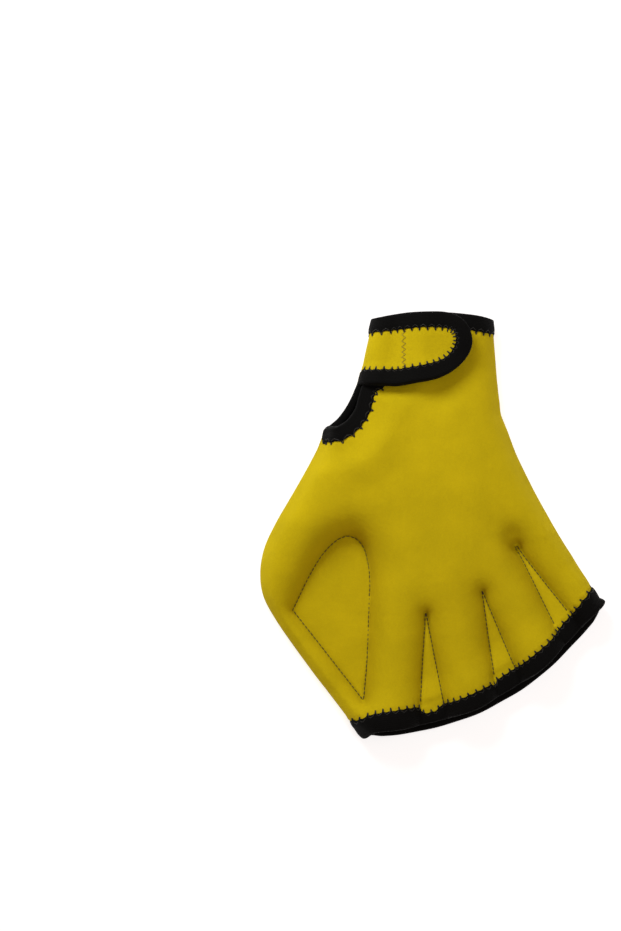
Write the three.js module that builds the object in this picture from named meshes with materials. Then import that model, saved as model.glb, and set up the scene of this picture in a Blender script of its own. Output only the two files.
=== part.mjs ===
// A fingerless webbed swim glove for the left hand, lying palm down on a flat surface.
// Two neoprene panels meet in a seam along the thumb side and the little-finger side. Stitched
// darts between the fingers and a stitched web beside the thumb join them inside the outline.
// The palm panel wraps round the thumb side of the wrist and carries a closing strap.
// Millimetres, +Z up. +Y points to the wrist and -X to the thumb.
import * as THREE from 'three';

// Driving sizes
const gloveLength = 220; // wrist edge to the lowest finger corner
const gloveWidth = 177; // thumb bulge to little-finger corner
const wall = 2.5; // neoprene with its jersey faces
const clearance = 0.3; // between pieces that touch on the real glove
const tapeClearance = 0.7; // between the tape and the sheet that it is folded over
const tapeWall = 1; // binding tape
const tapeWidth = 8; // how far the tape reaches from its outer edge
const rimInside = 2.5; // inside radius where the panels meet at the outline
const wristCrown = 8; // how far the back rises above the rim, at the wrist
const palmCrown = 15; // and over the palm
const fingerCrown = 13; // and at the finger edge
const springiness = 8.5; // how far from a seam the neoprene takes to rise
const slitDroop = 6; // how much the back's free edge drops inside the palm panel's fold
const slitReach = 22; // and how far from that edge it starts to drop
const palmReach = 2.6; // how far the palm panel stands out past the back at the finger edge
const strapLift = 1.2; // how much more the strap's free lower edge stands off
const strapTip = 18; // X of the strap's rounded end
const strapRound = 20; // length of that rounded end
const strapSlope = 8; // how much sooner its lower edge starts to round than its upper one
const strapSeam = -14.8; // X of the butt seam between palm panel and strap
const patchMargin = 0.9; // hook patch inside the strap's tape

// What follows from them
const rim = wall + rimInside;
const tapeOut = tapeClearance + tapeWall;
const strapStandoff = 2 * tapeOut + clearance; // strap underside above the back, with two tapes
const armLength = tapeWidth - tapeOut;
const sewnDrop = clearance - 2 * rimInside; // back's height over the rim where layers are sewn flat
const tapedDrop = sewnDrop + 2 * tapeOut; // and where two taped edges lie on each other
const meetHalf = 0.8 * clearance;

// The outline from wrist to finger edge, as shares of glove width (x) and length (y and bow).
// thumb is the outer line of the thumb side, and little the little-finger side. bow curves the
// line across, towards the fingers. The strap's lower edge is at the row marked strap, and the
// thumb-side seam starts at the row marked slit.
const outline = [
  { thumbX: -0.172, thumbY: 0.473, littleX: 0.172, littleY: 0.473, bow: -0.018 },
  { thumbX: -0.192, thumbY: 0.402, littleX: 0.181, littleY: 0.402, bow: 0 },
  { thumbX: -0.209, thumbY: 0.333, littleX: 0.189, littleY: 0.334, bow: 0, at: 'strap' },
  { thumbX: -0.212, thumbY: 0.325, littleX: 0.19, littleY: 0.325, bow: 0 },
  { thumbX: -0.218, thumbY: 0.314, littleX: 0.192, littleY: 0.311, bow: 0 },
  { thumbX: -0.228, thumbY: 0.295, littleX: 0.197, littleY: 0.286, bow: 0.001 },
  { thumbX: -0.245, thumbY: 0.27, littleX: 0.203, littleY: 0.259, bow: 0.003 },
  { thumbX: -0.268, thumbY: 0.246, littleX: 0.216, littleY: 0.232, bow: 0.005 },
  { thumbX: -0.291, thumbY: 0.23, littleX: 0.225, littleY: 0.214, bow: 0.006 },
  { thumbX: -0.31, thumbY: 0.214, littleX: 0.232, littleY: 0.198, bow: 0.007, at: 'slit' },
  { thumbX: -0.335, thumbY: 0.17, littleX: 0.25, littleY: 0.161, bow: 0.011 },
  { thumbX: -0.376, thumbY: 0.11, littleX: 0.2825, littleY: 0.107, bow: 0.018 },
  { thumbX: -0.418, thumbY: 0.051, littleX: 0.319, littleY: 0.05, bow: 0.027 },
  { thumbX: -0.459, thumbY: -0.007, littleX: 0.354, littleY: 0, bow: 0.039 },
  { thumbX: -0.4875, thumbY: -0.061, littleX: 0.384, littleY: -0.041, bow: 0.05 },
  { thumbX: -0.497, thumbY: -0.118, littleX: 0.407, littleY: -0.07, bow: 0.059 },
  { thumbX: -0.487, thumbY: -0.17, littleX: 0.424, littleY: -0.093, bow: 0.066 },
  { thumbX: -0.449, thumbY: -0.226, littleX: 0.438, littleY: -0.111, bow: 0.072 },
  { thumbX: -0.397, thumbY: -0.288, littleX: 0.451, littleY: -0.127, bow: 0.0765 },
  { thumbX: -0.336, thumbY: -0.3545, littleX: 0.463, littleY: -0.143, bow: 0.08 },
  { thumbX: -0.271, thumbY: -0.422, littleX: 0.4745, littleY: -0.158, bow: 0.083 },
  { thumbX: -0.22, thumbY: -0.475, littleX: 0.484, littleY: -0.172, bow: 0.0845 },
];

// The same rows above the slit's bottom: edge is the back panel's own edge, which leaves the
// thumb line there. fold is the share of the wrist fold's radius, and wrap the palm panel's own
// angle round it. The strap goes on from there, over the fold and onto the back.
const wristRows = [
  { edgeX: -0.13, edgeY: 0.482, fold: 1, wrap: 90 },
  { edgeX: -0.144, edgeY: 0.407, fold: 1, wrap: 90 },
  { edgeX: -0.144, edgeY: 0.336, fold: 1, wrap: 90 },
  { edgeX: -0.152, edgeY: 0.325, fold: 0.97, wrap: 90 },
  { edgeX: -0.182, edgeY: 0.311, fold: 0.92, wrap: 90 },
  { edgeX: -0.198, edgeY: 0.293, fold: 0.8, wrap: 88 },
  { edgeX: -0.214, edgeY: 0.267, fold: 0.5, wrap: 84 },
  { edgeX: -0.24, edgeY: 0.239, fold: 0.25, wrap: 74 },
  { edgeX: -0.275, edgeY: 0.221, fold: 0.1, wrap: 70 },
];
const stations = outline.map((row, i) =>
  ({ edgeX: row.thumbX, edgeY: row.thumbY, fold: 0, wrap: 90, ...wristRows[i], ...row }));
const stationAt = (name) => stations.findIndex((row) => row.at === name);
const strapStation = stationAt('strap');
const slitStation = stationAt('slit');

// Stitched darts between the fingers: the point, and where both seams reach the finger edge.
const darts = [
  { pointX: -0.018, pointY: -0.204, leftX: -0.032, leftY: -0.422, rightX: 0.035, rightY: -0.419 },
  { pointX: 0.145, pointY: -0.153, leftX: 0.182, leftY: -0.354, rightX: 0.241, rightY: -0.334 },
  { pointX: 0.247, pointY: -0.052, leftX: 0.356, leftY: -0.231, rightX: 0.398, rightY: -0.206 },
];

// The stitched web beside the thumb, from its top round the thumb side to the tip and back.
const web = [
  { x: -0.24, y: -0.03 },
  { x: -0.268, y: -0.035 },
  { x: -0.2955, y: -0.053 },
  { x: -0.342, y: -0.105 },
  { x: -0.402, y: -0.2 },
  { x: -0.198, y: -0.4095 },
  { x: -0.189, y: -0.331 },
  { x: -0.1815, y: -0.179 },
  { x: -0.1797, y: -0.127 },
  { x: -0.185, y: -0.09 },
  { x: -0.2035, y: -0.047 },
  { x: -0.222, y: -0.034 },
];
const webTip = 5; // its tip in that list

// Past the web's tip its two mesh lines part again, to cross the finger edge.
const webTails = { left: -0.145, right: -0.1, y: -0.52 };

// Mesh lines run along the seams. Above each dart and the web they spread towards the wrist,
// where each row of this table says how far up it is and where the eight lines stand.
const spreads = [
  { y: 0.5, x: [-0.07, -0.058, -0.034, -0.006, 0.045, 0.068, 0.105, 0.128] },
  { y: 0.33, x: [-0.092, -0.08, -0.036, -0.01, 0.055, 0.075, 0.12, 0.14] },
  { y: 0.22, x: [-0.14, -0.125, -0.036, -0.012, 0.07, 0.09, 0.145, 0.165] },
  { y: 0.08, x: [-0.208, -0.192, -0.034, -0.014, 0.1, 0.115, 0.195, 0.212] },
];

const vec2 = (x, y) => new THREE.Vector2(x * gloveWidth, y * gloveLength);
const lerp = THREE.MathUtils.lerp;
const overrun = 0.6; // how far past the finger edge the darts' lines are carried, as a share
const beyond = (a, b) => b.clone().addScaledVector(b.clone().sub(a), overrun);
const smooth = (x) => THREE.MathUtils.smoothstep(x, 0, 1);

// The value of one column of the table at a place t between its rows, smooth for the outlines.
function column(name, t) {
  const last = stations.length - 1;
  const i = Math.min(Math.floor(t), last - 1);
  const f = t - i;
  const at = (k) => stations[THREE.MathUtils.clamp(k, 0, last)][name];
  const bend = (at(i + 1) - at(i - 1)) / 2;
  const nextBend = (at(i + 2) - at(i)) / 2;
  if (name === 'wrap' || name === 'fold') return lerp(at(i), at(i + 1), f);
  const f2 = f * f;
  const f3 = f2 * f;
  return (2 * f3 - 3 * f2 + 1) * at(i) + (f3 - 2 * f2 + f) * bend
    + (3 * f2 - 2 * f3) * at(i + 1) + (f3 - f2) * nextBend;
}

// One line across the glove, from the thumb side (or the back panel's edge) to the little finger.
function crossLine(t, from) {
  const left = vec2(column(from + 'X', t), column(from + 'Y', t));
  const right = vec2(column('littleX', t), column('littleY', t));
  const chord = right.clone().sub(left);
  const bow = column('bow', t) * gloveLength;
  const towards = new THREE.Vector2(chord.y, -chord.x).normalize();
  const point = (u) => left.clone().addScaledVector(chord, u)
    .addScaledVector(towards, bow * 4 * u * (1 - u));
  return { left, length: chord.length(), towards, point };
}

function along(points, y) {
  if (y >= points[0].y) return points[0].x;
  for (let i = 1; i < points.length; i += 1) {
    if (y >= points[i].y) {
      const f = (points[i - 1].y - y) / Math.max(points[i - 1].y - points[i].y, 1e-9);
      return lerp(points[i - 1].x, points[i].x, f);
    }
  }
  return points[points.length - 1].x;
}

// The eight mesh lines that follow the web's two sides and the darts' two seams each.
function seamLines() {
  const split = 0.4; // keeps the two lines of one point apart
  const webPoints = web.map((p) => vec2(p.x, p.y));
  const webLeft = webPoints.slice(0, webTip + 1);
  const webRight = [...webPoints.slice(webTip), webPoints[0]].reverse();
  const lines = [webLeft, webRight];
  for (const d of darts) {
    const point = vec2(d.pointX, d.pointY);
    for (const end of [vec2(d.leftX, d.leftY), vec2(d.rightX, d.rightY)]) {
      lines.push([point, end, beyond(point, end)]);
    }
  }
  webLeft.push(vec2(webTails.left, webTails.y));
  webRight.push(vec2(webTails.right, webTails.y));
  return lines.map((line, i) => {
    const aside = i % 2 ? split : -split;
    const top = spreads.map((s) => vec2(s.x[i], s.y));
    return [...top, ...line.map((p) => new THREE.Vector2(p.x + aside, p.y))];
  });
}

const halvings = 30; // steps of each search between two bounds

// Where along a cross line a mesh line crosses it
function crossing(line, path) {
  let low = 0;
  let high = 1;
  for (let i = 0; i < halvings; i += 1) {
    const middle = (low + high) / 2;
    const p = line.point(middle);
    if (p.x < along(path, p.y)) low = middle;
    else high = middle;
  }
  return low;
}

function distanceTo(points, x, y) {
  let best = Infinity;
  for (let i = 1; i < points.length; i += 1) {
    const a = points[i - 1];
    const b = points[i];
    const dx = b.x - a.x;
    const dy = b.y - a.y;
    const f = THREE.MathUtils.clamp(((x - a.x) * dx + (y - a.y) * dy) / (dx * dx + dy * dy), 0, 1);
    best = Math.min(best, Math.hypot(x - a.x - f * dx, y - a.y - f * dy));
  }
  return best;
}

function inside(points, x, y) {
  let odd = false;
  for (let i = 0, j = points.length - 1; i < points.length; j = i, i += 1) {
    const a = points[i];
    const b = points[j];
    if (a.y > y !== b.y > y && x < a.x + ((y - a.y) / (b.y - a.y)) * (b.x - a.x)) odd = !odd;
  }
  return odd;
}

// Outline curves as fine polylines, for distances
const lastStation = stations.length - 1;
const steps = (from, to, count) => Array.from({ length: count + 1 }, (_, i) => lerp(from, to, i / count));
const range = (from, to) => Array.from({ length: to - from + 1 }, (_, i) => from + i);
const sidePoints = (name, from, to, count) =>
  steps(from, to, count).map((t) => vec2(column(name + 'X', t), column(name + 'Y', t)));
const fineSteps = 60;
const thumbLine = sidePoints('thumb', 0, lastStation, 2 * fineSteps);
const thumbSeam = sidePoints('thumb', slitStation, lastStation, fineSteps);
const littleSeam = sidePoints('little', 0, lastStation, fineSteps);
const fingerLine = steps(0, 1, fineSteps).map((u) => crossLine(lastStation, 'edge').point(u));
const wristLine = steps(0, 1, fineSteps).map((u) => crossLine(0, 'edge').point(u));
function extend(points, atStart) {
  const n = points.length;
  const reach = tapeWidth * 2;
  const start = points[0].clone().sub(points[1]).setLength(reach).add(points[0]);
  const end = points[n - 1].clone().sub(points[n - 2]).setLength(reach).add(points[n - 1]);
  return atStart ? [start, ...points, end] : [...points, end];
}
const rimLines = [extend(thumbLine, true), extend(littleSeam, true)];
const fixedLines = [extend(thumbSeam, false), extend(littleSeam, true)];

// The flat areas where both layers are sewn together
const sewnAreas = [
  web.map((p) => vec2(p.x, p.y)),
  ...darts.map((d) => {
    const point = vec2(d.pointX, d.pointY);
    const left = vec2(d.leftX, d.leftY);
    const right = vec2(d.rightX, d.rightY);
    return [point, beyond(point, left), beyond(point, right)];
  }),
];
const closed = (points) => [...points, points[0]];

// How far the back rises over the rim, relaxed on a square grid like a sprung sheet that is
// held down at the seams and pushed up to the crown heights everywhere else.
function relaxedRise() {
  const cell = 2;
  const margin = 12;
  const columns = Math.ceil((gloveWidth + 2 * margin) / cell);
  const rows = Math.ceil((gloveLength + 2 * margin) / cell);
  const startX = -gloveWidth / 2 - margin;
  const startY = -gloveLength / 2 - margin;
  const rise = new Float64Array(columns * rows);
  const target = new Float64Array(columns * rows);
  const held = new Uint8Array(columns * rows);
  const crownReach = { wrist: 80, finger: 45 };
  for (let r = 0; r < rows; r += 1) {
    for (let c = 0; c < columns; c += 1) {
      const x = startX + c * cell;
      const y = startY + r * cell;
      const i = r * columns + c;
      const fromFingers = distanceTo(fingerLine, x, y);
      const fromWrist = distanceTo(wristLine, x, y);
      const palm = lerp(fingerCrown, palmCrown, smooth(fromFingers / crownReach.finger));
      target[i] = lerp(wristCrown, palm, smooth(fromWrist / crownReach.wrist));
      rise[i] = target[i];
      const near = cell * 0.6;
      if (fixedLines.some((line) => distanceTo(line, x, y) < near)) {
        held[i] = 1;
        rise[i] = 0;
      }
      const taped = smooth((tapeWidth + 2 * cell - fromFingers) / (2 * cell));
      if (sewnAreas.some((area) => inside(area, x, y) || distanceTo(closed(area), x, y) < near)) {
        held[i] = 1;
        rise[i] = lerp(sewnDrop, tapedDrop, inside(sewnAreas[0], x, y) ? 0 : taped);
      }
    }
  }
  const pull = (cell / springiness) ** 2;
  const passes = 300;
  for (let pass = 0; pass < passes; pass += 1) {
    for (let r = 0; r < rows; r += 1) {
      for (let c = 0; c < columns; c += 1) {
        const i = r * columns + c;
        if (held[i]) continue;
        const west = rise[c ? i - 1 : i + 1];
        const east = rise[c < columns - 1 ? i + 1 : i - 1];
        const south = rise[r ? i - columns : i + columns];
        const north = rise[r < rows - 1 ? i + columns : i - columns];
        rise[i] = (west + east + south + north + pull * target[i]) / (4 + pull);
      }
    }
  }
  return (x, y) => {
    const fx = THREE.MathUtils.clamp((x - startX) / cell, 0, columns - 1.001);
    const fy = THREE.MathUtils.clamp((y - startY) / cell, 0, rows - 1.001);
    const c = Math.floor(fx);
    const r = Math.floor(fy);
    const i = r * columns + c;
    const low = lerp(rise[i], rise[i + 1], fx - c);
    const high = lerp(rise[i + columns], rise[i + columns + 1], fx - c);
    return lerp(low, high, fy - r);
  };
}
const rise = relaxedRise();

// Heights of the two outer faces
const rimDrop = (d) => rim - Math.sqrt(Math.max(rim * rim - (rim - Math.min(d, rim)) ** 2, 0));
const fromRim = (x, y) => Math.min(...fixedLines.map((line) => distanceTo(line, x, y)));
// The middle of the palm lies on the surface, and its taped edges just over it on their tape.
const tapeLift = tapeOut + 0.1;
function restHeight(x, y) {
  const fromEdge = Math.min(distanceTo(fingerLine, x, y), distanceTo(wristLine, x, y));
  const slitMiddle = vec2(stations[slitStation - 2].thumbX, stations[slitStation - 2].thumbY);
  const fromSlit = Math.hypot(x - slitMiddle.x, y - slitMiddle.y) - 2 * tapeWidth;
  return tapeLift * (1 - smooth((Math.min(fromEdge, fromSlit) - tapeWidth) / (2 * tapeWidth)));
}
const backSlit = sidePoints('edge', 0, slitStation, fineSteps);
const slitBottom = backSlit[fineSteps];
function backHeight(x, y) {
  const d = fromRim(x, y);
  const open = smooth(Math.hypot(x - slitBottom.x, y - slitBottom.y) / slitReach);
  const droop = slitDroop * open * (1 - smooth(distanceTo(backSlit, x, y) / slitReach));
  return restHeight(x, y) + 2 * rim - rimDrop(d) + rise(x, y) * Math.min(1, d / rim) - droop;
}
const strapHeight = (x, y, lower) => backHeight(x, y) + strapStandoff + wall + strapLift * lower * lower;

// Rows across the glove. The first ones are those of the strap, spaced for its rounded end.
const strapRows = 6;
const bodyRows = 14;
const strapShare = (j) => (1 - Math.cos((Math.PI * j) / strapRows)) / 2;
const rowPlaces = [
  ...steps(0, strapRows, strapRows).map((j) => strapShare(j) * strapStation),
  ...steps(strapStation + 1, slitStation, slitStation - strapStation - 1),
  ...steps(slitStation, lastStation, bodyRows).slice(1),
];
const meshLines = seamLines();
const channelCells = [3, 2, 3, 1, 3, 1, 3, 1, 2]; // mesh columns between neighbouring lines
const rimCells = 3;
const rimOffset = (k) => rim * (1 - Math.cos((Math.PI / 2) * (k / rimCells)));

// Places along a cross line from one offset to another, with the mesh lines between them.
function columnPlaces(line, fromOffset) {
  const start = fromOffset / line.length;
  const end = 1 - rim / line.length;
  const knots = [start, ...meshLines.map((path) => crossing(line, path)), end];
  const least = 0.5 / line.length;
  for (let i = 1; i < knots.length; i += 1) knots[i] = Math.max(knots[i], knots[i - 1] + least);
  knots[knots.length - 1] = end;
  for (let i = knots.length - 2; i > 0; i -= 1) knots[i] = Math.min(knots[i], knots[i + 1] - least);
  const places = [start];
  channelCells.forEach((count, i) => {
    for (let k = 1; k <= count; k += 1) places.push(lerp(knots[i], knots[i + 1], k / count));
  });
  for (let k = rimCells - 1; k >= 0; k -= 1) places.push(1 - rimOffset(k) / line.length);
  return places;
}

// Outer face of the back panel, as rows of points
function backRows() {
  return rowPlaces.map((t) => {
    const line = crossLine(t, 'edge');
    const lead = range(0, rimCells - 1).map((k) => rimOffset(k) / line.length);
    return [...lead, ...columnPlaces(line, rim)].map((u) => {
      const p = line.point(u);
      const onSeam = u === 1 || (u === 0 && t >= slitStation);
      const z = onSeam ? restHeight(p.x, p.y) + rim + meetHalf : backHeight(p.x, p.y);
      return new THREE.Vector3(p.x, p.y, z);
    });
  });
}

const foldCells = 3; // on each half of the wrist fold
const strapCells = 3;
const tipCells = 7;

function foldRadius(t) {
  const edge = vec2(column('edgeX', Math.min(t, strapStation)), column('edgeY', Math.min(t, strapStation)));
  const lower = THREE.MathUtils.clamp(t / strapStation, 0, 1);
  const full = (strapHeight(edge.x, edge.y, lower) - restHeight(edge.x, edge.y)) / 2;
  return lerp(rim, full, column('fold', t));
}

// A point on the strap at a share of its width and an X, straight over the palm's own row.
function strapPoint(t, x) {
  const line = crossLine(t, 'thumb');
  const radius = foldRadius(t);
  const foldX = line.left.x + radius;
  const p = line.point((x - line.left.x) / line.length);
  const lower = t / strapStation;
  const start = restHeight(foldX, p.y) + 2 * radius;
  const settled = strapHeight(x, p.y, lower);
  return new THREE.Vector3(x, p.y, lerp(start, settled, smooth((x - foldX) / tapeWidth)));
}

function palmRows() {
  return rowPlaces.map((t, row) => {
    const isLast = row === rowPlaces.length - 1;
    const line = crossLine(t, 'thumb');
    const radius = foldRadius(t);
    const foldX = line.left.x + radius;
    const points = [];
    for (let k = 0; k < strapCells; k += 1) {
      const x = lerp(strapSeam - meetHalf, foldX, k / strapCells);
      points.push(t <= strapStation ? strapPoint(t, x) : null);
    }
    const wrap = THREE.MathUtils.degToRad(column('wrap', t));
    const flat = line.point(radius / line.length);
    const height = restHeight(flat.x, flat.y);
    for (let k = 0; k < 2 * foldCells; k += 1) {
      const upper = Math.max(foldCells - k, 0) / foldCells;
      const lower = Math.min(2 * foldCells - k, foldCells) / foldCells;
      const angle = wrap * lower + (Math.PI - wrap) * upper;
      const p = line.point((radius * (1 - Math.sin(angle))) / line.length);
      const seamed = k === foldCells && t >= slitStation;
      const z = seamed ? height + rim - meetHalf : height + radius * (1 - Math.cos(angle));
      points.push(k < foldCells && t > strapStation ? null : new THREE.Vector3(p.x, p.y, z));
    }
    for (const u of columnPlaces(line, radius)) {
      const p = line.point(u);
      const fromLittle = distanceTo(rimLines[1], p.x, p.y);
      const z = u === 1 ? rim - meetHalf : rimDrop(fromLittle);
      points.push(new THREE.Vector3(p.x, p.y, restHeight(p.x, p.y) + z));
    }
    if (isLast) {
      const ends = points.filter((p) => p);
      ends.forEach((p) => {
        const aside = Math.min(distanceTo(rimLines[0], p.x, p.y), distanceTo(rimLines[1], p.x, p.y));
        const reach = palmReach * smooth(aside / (2 * rim));
        p.x += line.towards.x * reach;
        p.y += line.towards.y * reach;
      });
    }
    return points;
  });
}

// Where a point lies between the strap's edges
function strapPlace(p) {
  let low = 0;
  let high = strapStation;
  for (let i = 0; i < halvings; i += 1) {
    const middle = (low + high) / 2;
    if (strapPoint(middle, p.x).y > p.y) low = middle;
    else high = middle;
  }
  return low;
}

function strapNormal(t, x) {
  const apart = 0.5;
  const across = strapPoint(t, x + apart).sub(strapPoint(t, x - apart));
  const up = strapPoint(t - apart, x).sub(strapPoint(t + apart, x));
  return across.cross(up).normalize();
}

// The strap beyond its butt seam
const strapPlaces = range(0, strapRows).map((j) => {
  const t = strapShare(j) * strapStation;
  const bulge = strapRound * Math.sin((Math.PI * j) / strapRows);
  const end = strapTip - strapRound + strapSlope * (0.5 - strapShare(j)) + bulge;
  return steps(strapSeam + meetHalf, end, tipCells).map((x) => ({ t, x }));
});

// Outward normals of a grid of points, by differences along rows and columns. They lie level
// along the seams.
function normals(rows, turned, level) {
  return rows.map((row, r) => row.map((p, c) => {
    if (!p) return null;
    const at = (i, j) => (rows[i] && rows[i][j]) || p;
    const across = at(r, c + 1).clone().sub(at(r, c - 1));
    const down = at(r + 1, c).clone().sub(at(r - 1, c));
    const n = across.cross(down).normalize();
    if (level(r, c)) n.setZ(0).normalize();
    return n.multiplyScalar(turned);
  }));
}

// A sheet: its outer face, its normals, and the middle of its wall.
function sheet(rows, facing) {
  const shift = (by) => rows.map((row, r) => row.map((p, c) =>
    p && p.clone().addScaledVector(facing[r][c], -by)));
  return { outer: rows, facing, middle: shift(wall / 2), inner: shift(wall) };
}

// Closes triangles into a geometry whose faces point out.
function solidGeometry(points, triangles) {
  let volume = 0;
  for (const [a, b, c] of triangles) {
    volume += points[a].dot(points[b].clone().cross(points[c]));
  }
  const index = triangles.flatMap(([a, b, c]) => (volume > 0 ? [a, b, c] : [a, c, b]));
  const geometry = new THREE.BufferGeometry();
  geometry.setAttribute('position', new THREE.Float32BufferAttribute(points.flatMap((p) => p.toArray()), 3));
  geometry.setIndex(index);
  geometry.computeVertexNormals();
  return geometry;
}

// A solid between two grids of points, with walls round its free edges.
function sheetSolid(outer, inner) {
  const points = [];
  const numbers = [outer, inner].map((grid) => grid.map((row) => row.map((p) => {
    if (!p) return -1;
    points.push(p);
    return points.length - 1;
  })));
  const cellAt = (r, c) => outer[r] && outer[r + 1] && outer[r][c] && outer[r][c + 1]
    && outer[r + 1][c] && outer[r + 1][c + 1];
  const triangles = [];
  const quad = (a, b, c, d) => triangles.push([a, b, c], [a, c, d]);
  const [top, bottom] = numbers;
  for (let r = 0; r < outer.length - 1; r += 1) {
    for (let c = 0; c < outer[r].length - 1; c += 1) {
      if (!cellAt(r, c)) continue;
      quad(top[r][c], top[r + 1][c], top[r + 1][c + 1], top[r][c + 1]);
      quad(bottom[r][c], bottom[r][c + 1], bottom[r + 1][c + 1], bottom[r + 1][c]);
      if (!cellAt(r, c - 1)) quad(top[r][c], bottom[r][c], bottom[r + 1][c], top[r + 1][c]);
      if (!cellAt(r, c + 1)) {
        quad(top[r][c + 1], top[r + 1][c + 1], bottom[r + 1][c + 1], bottom[r][c + 1]);
      }
      if (!cellAt(r - 1, c)) quad(top[r][c], top[r][c + 1], bottom[r][c + 1], bottom[r][c]);
      if (!cellAt(r + 1, c)) {
        quad(top[r + 1][c], bottom[r + 1][c], bottom[r + 1][c + 1], top[r + 1][c + 1]);
      }
    }
  }
  return solidGeometry(points, triangles);
}

// The nearest place on a sheet's middle, with the normal there
function settle(piece, p) {
  const triangle = new THREE.Triangle();
  const found = new THREE.Vector3();
  const share = new THREE.Vector3();
  let best = null;
  const look = (places) => {
    const corners = places.map(([r, c]) => piece.middle[r] && piece.middle[r][c]);
    if (!corners.every(Boolean)) return;
    triangle.set(...corners);
    triangle.closestPointToPoint(p, found);
    const gap = found.distanceToSquared(p);
    if (best && gap >= best.gap) return;
    triangle.getBarycoord(found, share);
    const normal = new THREE.Vector3();
    places.forEach(([r, c], i) => normal.addScaledVector(piece.facing[r][c], share.getComponent(i)));
    best = { gap, point: found.clone(), normal: normal.normalize() };
  };
  for (let r = 0; r < piece.middle.length - 1; r += 1) {
    for (let c = 0; c < piece.middle[r].length - 1; c += 1) {
      look([[r, c], [r + 1, c], [r + 1, c + 1]]);
      look([[r, c], [r + 1, c + 1], [r, c + 1]]);
    }
  }
  return best;
}

// Binding tape folded over the edges of one or more sheets. A path is a list of places on them,
// and armCells is how many flat faces take the tape's arms across the sheet.
const noseShare = 0.6; // of the tape's wall, in from the nose
const noseRise = 1.6; // how much steeper it is than deep
function tapeSolid(path, isLoop, armCells) {
  const inGap = wall / 2 + tapeClearance;
  const outGap = inGap + tapeWall;
  const noseRound = tapeWall * noseShare;
  const noseHeight = outGap - noseRise * noseRound;
  const count = path.length;
  const near = range(1, armCells);
  const far = [...near].reverse();
  const rings = path.map((place, i) => {
    const out = place.out.clone();
    if (place.square) {
      const before = path[isLoop ? (i + count - 1) % count : Math.max(i - 1, 0)];
      const after = path[isLoop ? (i + 1) % count : Math.min(i + 1, count - 1)];
      out.copy(after.point).sub(before.point).cross(place.normal);
      if (out.dot(place.out) < 0) out.negate();
    }
    out.addScaledVector(place.normal, -out.dot(place.normal)).normalize();
    const arms = [{ point: place.point, normal: place.normal }];
    const heading = out.clone();
    for (const k of near) {
      const next = arms[k - 1].point.clone().addScaledVector(heading, -armLength / armCells);
      arms.push(settle(place.piece, next));
      heading.addScaledVector(arms[k].normal, -heading.dot(arms[k].normal)).normalize();
    }
    const raised = (k, by) => arms[k].point.clone().addScaledVector(arms[k].normal, by);
    const beyond = (by, height) => raised(0, height).addScaledVector(out, by);
    return [
      ...far.map((k) => raised(k, outGap)),
      beyond(tapeOut - noseRound, outGap),
      beyond(tapeOut, noseHeight),
      beyond(tapeOut, -noseHeight),
      beyond(tapeOut - noseRound, -outGap),
      ...near.map((k) => raised(k, -outGap)),
      ...far.map((k) => raised(k, -inGap)),
      beyond(tapeClearance, -inGap),
      beyond(tapeClearance, inGap),
      ...near.map((k) => raised(k, inGap)),
    ];
  });
  const size = rings[0].length;
  const points = rings.flat();
  const innerStart = 2 * armCells + 4;
  const slotStart = innerStart + armCells;
  const triangles = [];
  const number = (i, j) => (i % count) * size + (j % size);
  for (let i = 0; i < (isLoop ? count : count - 1); i += 1) {
    for (let j = 0; j < size; j += 1) {
      const [a, b, c, d] = [number(i, j), number(i + 1, j), number(i + 1, j + 1), number(i, j + 1)];
      const side = Math.sign(j - slotStart) * (j >= innerStart ? 1 : 0);
      const bulge = points[a].clone().add(points[c]).sub(points[b]).sub(points[d]);
      if (side * bulge.dot(path[i].normal) < 0) triangles.push([a, b, d], [b, c, d]);
      else triangles.push([a, b, c], [a, c, d]);
    }
  }
  const cap = (i, turned) => {
    const { normal } = path[i];
    const out = rings[i][armCells + 1].clone().sub(path[i].point).projectOnPlane(normal);
    const flat = rings[i].map((p) => new THREE.Vector2(p.dot(out), p.dot(normal) * out.length()));
    for (const [x, y, z] of THREE.ShapeUtils.triangulateShape(flat, [])) {
      const corners = turned ? [x, z, y] : [x, y, z];
      triangles.push(corners.map((j) => number(i, j)));
    }
  };
  if (!isLoop) {
    cap(0, true);
    cap(count - 1, false);
  }
  return solidGeometry(points, triangles);
}

// A place on a sheet's edge. The tape's arms run from it towards a neighbour in the grid, or
// square to the path.
function edgePlace(piece, r, c, stepR, stepC, square = false) {
  const point = piece.middle[r][c];
  const within = piece.middle[r + stepR][c + stepC];
  return { piece, point, normal: piece.facing[r][c], out: point.clone().sub(within), square };
}

function mixPlaces(a, b, share) {
  const point = a.point.clone().lerp(b.point, share);
  const normal = a.normal.clone().lerp(b.normal, share).normalize();
  return { ...a, point, normal, out: a.out.clone().lerp(b.out, share) };
}

const slitRow = rowPlaces.indexOf(slitStation);
const slitColumn = strapCells + foldCells;
const backGrid = backRows();
const palmGrid = palmRows();
const onSeam = (grid, start) => (r, c) => c === grid[r].length - 1 || (c === start && r >= slitRow);
const back = sheet(backGrid, normals(backGrid, -1, onSeam(backGrid, 0)));
const palm = sheet(palmGrid, normals(palmGrid, 1, onSeam(palmGrid, slitColumn)));
const strap = sheet(
  strapPlaces.map((row) => row.map(({ t, x }) => strapPoint(t, x))),
  strapPlaces.map((row) => row.map(({ t, x }) => strapNormal(t, x))),
);

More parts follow.
